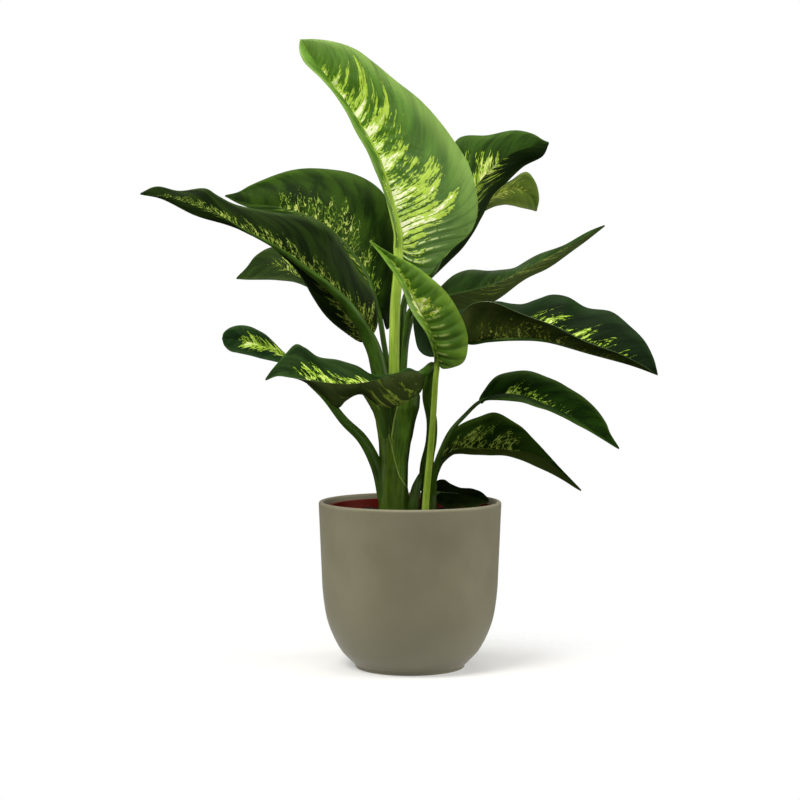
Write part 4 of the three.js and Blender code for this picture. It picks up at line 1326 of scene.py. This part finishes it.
# The looks of each leaf: colours are deep green, green, pale green, yellow-green and cream.
# Amount and reach say, from the leaf's base, 0, to its tip, 1, how thick its splashes are and
# how far out they run; halves add to the amount on the left and the right of the midrib. A half
# colour and shade is a colour and how strong it is left and right of the midrib, and fades over
# its span; a span past the tip leaves it whole. On leaf_b, leaf_h and leaf_n it is painted shade
# on the half that turns away from the light, on leaf_j the olive of its near half. The edge sheen
# and the tip sheen are painted sheen, and the base shade of leaf_c is painted shade.
BASIC = dict(
    seed=0, colours="0e2006 1e380c 36501c 76962e beca7a", stalk="223808 32520e 46681a",
    rim="405a28", half_tint=(SHADED, 0, 0), tint_span=(2, 3), dark_base=0,
    quilt=0.16, base_quilt=0.0, pucker=0.0, vein_gap=9, vein_width=0.12,
    sweep=(0.61, 0.61), base_veins=0.0, vein_cut=0.0, base_deep=0.0, emboss=0.0,
    rib_start=0.85, rib_taper=0.9, rib_rise=-0.5, flare=0.45, grain=0.2,
    tip_light=0.0, gloss=0.03, coat=0.0, pale_from=0.7, shake=0.5,
    fine=(1, 1), branch=0.6, patchy=(0.45, 1.2), halves=(-0.03, -0.03),
    amount=[(0.02, -0.3), (0.16, 0), (0.65, 0), (0.9, -0.3)], reach=[(0, 0.6), (1, 0.6)],
    cream_at=0.06, cream_fall=0.0, bars=0, bar_span=(0.3, 0.5),
    bar_reach=(0.5, 0.8),
)
UNDER_FACE = dict(
    colours="223010 324218 425226 687a2e 929c54", halves=(-0.06, -0.06),
    half_tint=(SHADED, 0, 0), gloss=0.0,
)
LOOKS = {}
LOOKS["leaf_a"] = dict(
    seed=1, quilt=0.45, base_quilt=2.5, pucker=0.6, vein_gap=6, vein_width=0.2, base_veins=0.75,
    rib_rise=0.8, rib_start=1.0, rib_taper=1.1, gloss=0.3, coat=0.05, emboss=1.2, grain=0.08,
    tip_light=0.3, vein_cut=0.2, base_deep=0.8, fine=(0.9, 0.6), shake=0.35,
    colours="365e0c 54821e 80a44c a8c842 f0f2d4",
    amount=[(-0.1, 0.0), (0.1, 0.01), (0.22, 0.03), (0.32, 0.05), (0.6, -0.005), (0.82, -0.005),
        (0.93, -0.3)],
    reach=[(0, 1.5), (0.2, 1.35), (0.35, 1.05), (0.5, 0.85), (0.85, 1.2)], bars=0.85, bar_span=(0.16, 0.3),
    bar_reach=(0.7, 0.95), patchy=(0.7, 1.1), halves=(-0.07, 0.0), cream_at=0.03, cream_fall=0.13,
    branch=0.15, sweep=(0.61, 0.8), rim="6e9646", stalk="769c28 90b238 b2cc5a",
    under=dict(colours="3e5c20 50702e 688446 889e48 acb870", halves=(-0.03, -0.03)),
)
LOOKS["leaf_b"] = dict(
    seed=2, rib_rise=0.3, rib_start=0.9, rib_taper=1.8, pale_from=0.8,
    colours="101c08 20320e 384c24 68802a 96a454",
    amount=[(-0.1, 0.03), (0.08, 0.02), (0.16, -0.02), (0.9, -0.015), (1.0, -0.3)],
    reach=[(0.05, 1.6), (0.2, 0.55), (0.4, 0.4), (1, 0.4)], halves=(-0.02, -0.01), fine=(1.5, 2.2),
    half_tint=(SHADED, 0.5, 0), branch=1.0, tint_span=(0.38, 0.6), flare=0.0,
)
LOOKS["leaf_c"] = dict(
    seed=3, rib_rise=0.3, halves=(-0.085, -0.095), branch=1.4, reach=[(0, 0.6), (1, 0.65)], dark_base=0.9,
    colours="122405 2c460e 3e5a1c 6c8a2a b2ba6a",
)
LOOKS["leaf_d"] = dict(
    seed=4, halves=(-0.05, -0.07), branch=0.9, colours="1a2a0e 283a16 3a4c24 7a9232 b0be68",
)
LOOKS["leaf_e"] = dict(
    seed=5, halves=(0.045, 0.01), reach=[(0, 1.0), (1, 0.9)], emboss=0.5,
    amount=[(-0.1, 0.02), (0.6, 0), (0.75, -0.03), (0.9, -0.3)], fine=(1.3, 1.2), cream_at=0.12,
    colours="162c14 264020 3a562e a4ca42 e2eaaa",
)
LOOKS["leaf_f"] = dict(
    seed=6, halves=(-0.03, 0.0), pale_from=0.85, colours="12260a 243c16 385426 9ac038 d6e08c",
    amount=[(0.1, -0.3), (0.25, 0), (0.7, 0), (0.9, -0.3)],
    under=dict(colours="263214 323e1c 44502c 586a26 707e36", halves=(0.01, 0.01),
        reach=[(0, 1.3), (1, 0.9)], seed=27, fine=(1.0, 2.2),
        amount=[(0.02, -0.3), (0.12, 0), (0.2, 0.04), (0.38, 0.04), (0.5, -0.08), (0.9, -0.05)]),
)
LOOKS["leaf_g"] = dict(
    seed=7, quilt=0.5, base_quilt=1.4, pucker=0.1, vein_width=0.3, base_veins=0.5, sweep=(0.3, 0.3),
    rib_rise=0.4, bars=0.6, bar_reach=(0.4, 0.62), gloss=0.25, rim="5a7832", halves=(0.1, 0.0),
    cream_at=0.05, branch=0.3,
    amount=[(0.3, -0.3), (0.42, 0.06), (0.5, 0.06), (0.57, 0.0), (0.82, 0.0), (0.92, -0.3)],
    reach=[(0.4, 0.7), (0.52, 0.62), (0.62, 0.35), (0.85, 0.2)], patchy=(0.8, 1.1),
    colours="406614 628a22 7ca036 a0bc3e d8deaa", stalk="688624 7e9c32 9eb648",
)
LOOKS["leaf_h"] = dict(
    seed=8, halves=(-0.025, -0.02), reach=[(0, 0.85), (1, 0.85)], emboss=0.5, half_tint=(SHADED, 0, 0.72),
    sweep=(0.61, 1.3), fine=(1.1, 0.8), colours="203410 38561e 46642a 9abe3a dae292",
)
LOOKS["leaf_i"] = dict(
    seed=9, halves=(-0.05, -0.02), fine=(1.5, 0.5), reach=[(0, 0.9), (1, 0.8)],
    colours="3a4c18 4e6024 607232 889638 a4ac54",
)
LOOKS["leaf_j"] = dict(
    seed=10, halves=(-0.16, -0.07), branch=0.9, reach=[(0, 1.2), (1, 1.0)],
    amount=[(0.15, -0.2), (0.35, 0), (0.7, 0), (0.95, -0.3)], half_tint=("2a3214", 0, 0.7),
    fine=(1.3, 0.8), colours="1c320e 2e4a1c 3e5828 586a26 7c8842",
)
LOOKS["leaf_k"] = dict(
    seed=11, halves=(-0.02, -0.04), reach=[(0, 0.85), (1, 0.75)], emboss=0.5,
    amount=[(0.1, -0.3), (0.25, 0), (0.82, 0), (0.92, -0.3)], fine=(1.2, 0.9),
    colours="0b1908 142610 22361c 9ac03a dce496",
    under=dict(colours="2a3714 3c491e 4c592c 6c7c2a 929c4c", halves=(-0.1, -0.1), branch=1.4,
        amount=[(0.1, -0.3), (0.2, 0), (0.4, 0), (0.55, -0.05), (0.9, -0.1)]),
)
LOOKS["leaf_m"] = dict(
    seed=12, halves=(-0.03, -0.015), reach=[(0, 0.65), (1, 0.45)], gloss=0.01,
    amount=[(0.08, -0.3), (0.2, 0.01), (0.45, 0), (0.6, -0.04), (0.74, -0.3)],
    under=dict(colours="18260b 243411 304019 506222 6e7c38"),
)
LOOKS["leaf_n"] = dict(
    seed=13, halves=(-0.02, -0.01), reach=[(0, 0.8), (1, 0.8)], branch=1.0, gloss=0.0,
    amount=[(-0.05, -0.3), (0.06, 0), (0.5, 0), (0.62, -0.3)],
    colours="0d1b04 192b08 2c3e14 506222 6e7c38", half_tint=("1e260c", 0, 0.8),
    under=dict(colours="1b260c 273212 333e1a 506222 6e7c38"),
)
LOOKS["leaf_o"] = dict(
    seed=14, halves=(-0.3, -0.3), colours="080e03 101a06 1c260e 76962e beca7a", gloss=0.0,
)


def make_plant():
    for name, leaf in LEAVES.items():
        skin = {**BASIC, **LOOKS[name]}
        under = {**skin, **UNDER_FACE, **skin.get("under", {})}
        materials = [
            leaf_skin(name + " upper", skin),
            leaf_skin(name + " under", under),
            rim_skin(name + " rim", skin["rim"]),
            stalk_skin(name + " stalk", skin["stalk"], skin["seed"]),
        ]
        make_leaf(name, leaf, skin, materials)
    make_cane([
        stem_skin("cane", "344c10 466418 5c7e26"),
        stem_skin("left sheath", "364c0e 486414 608022", MARGIN_COLOUR),
        stem_skin("right sheath", "3c5a14 50741c 688e2a", MARGIN_COLOUR, FLANK_SHADE),
    ])
    make_side_shoot(stem_skin("side shoot", "283e0c 365012 46621c"))


make_plant()
make_cachepot(stoneware_skin())
make_nursery_pot(plastic_skin())
make_soil(soil_skin())
make_floor()
set_world()
set_lamps()
set_camera()
bpy.context.scene.view_settings.view_transform = "Standard"
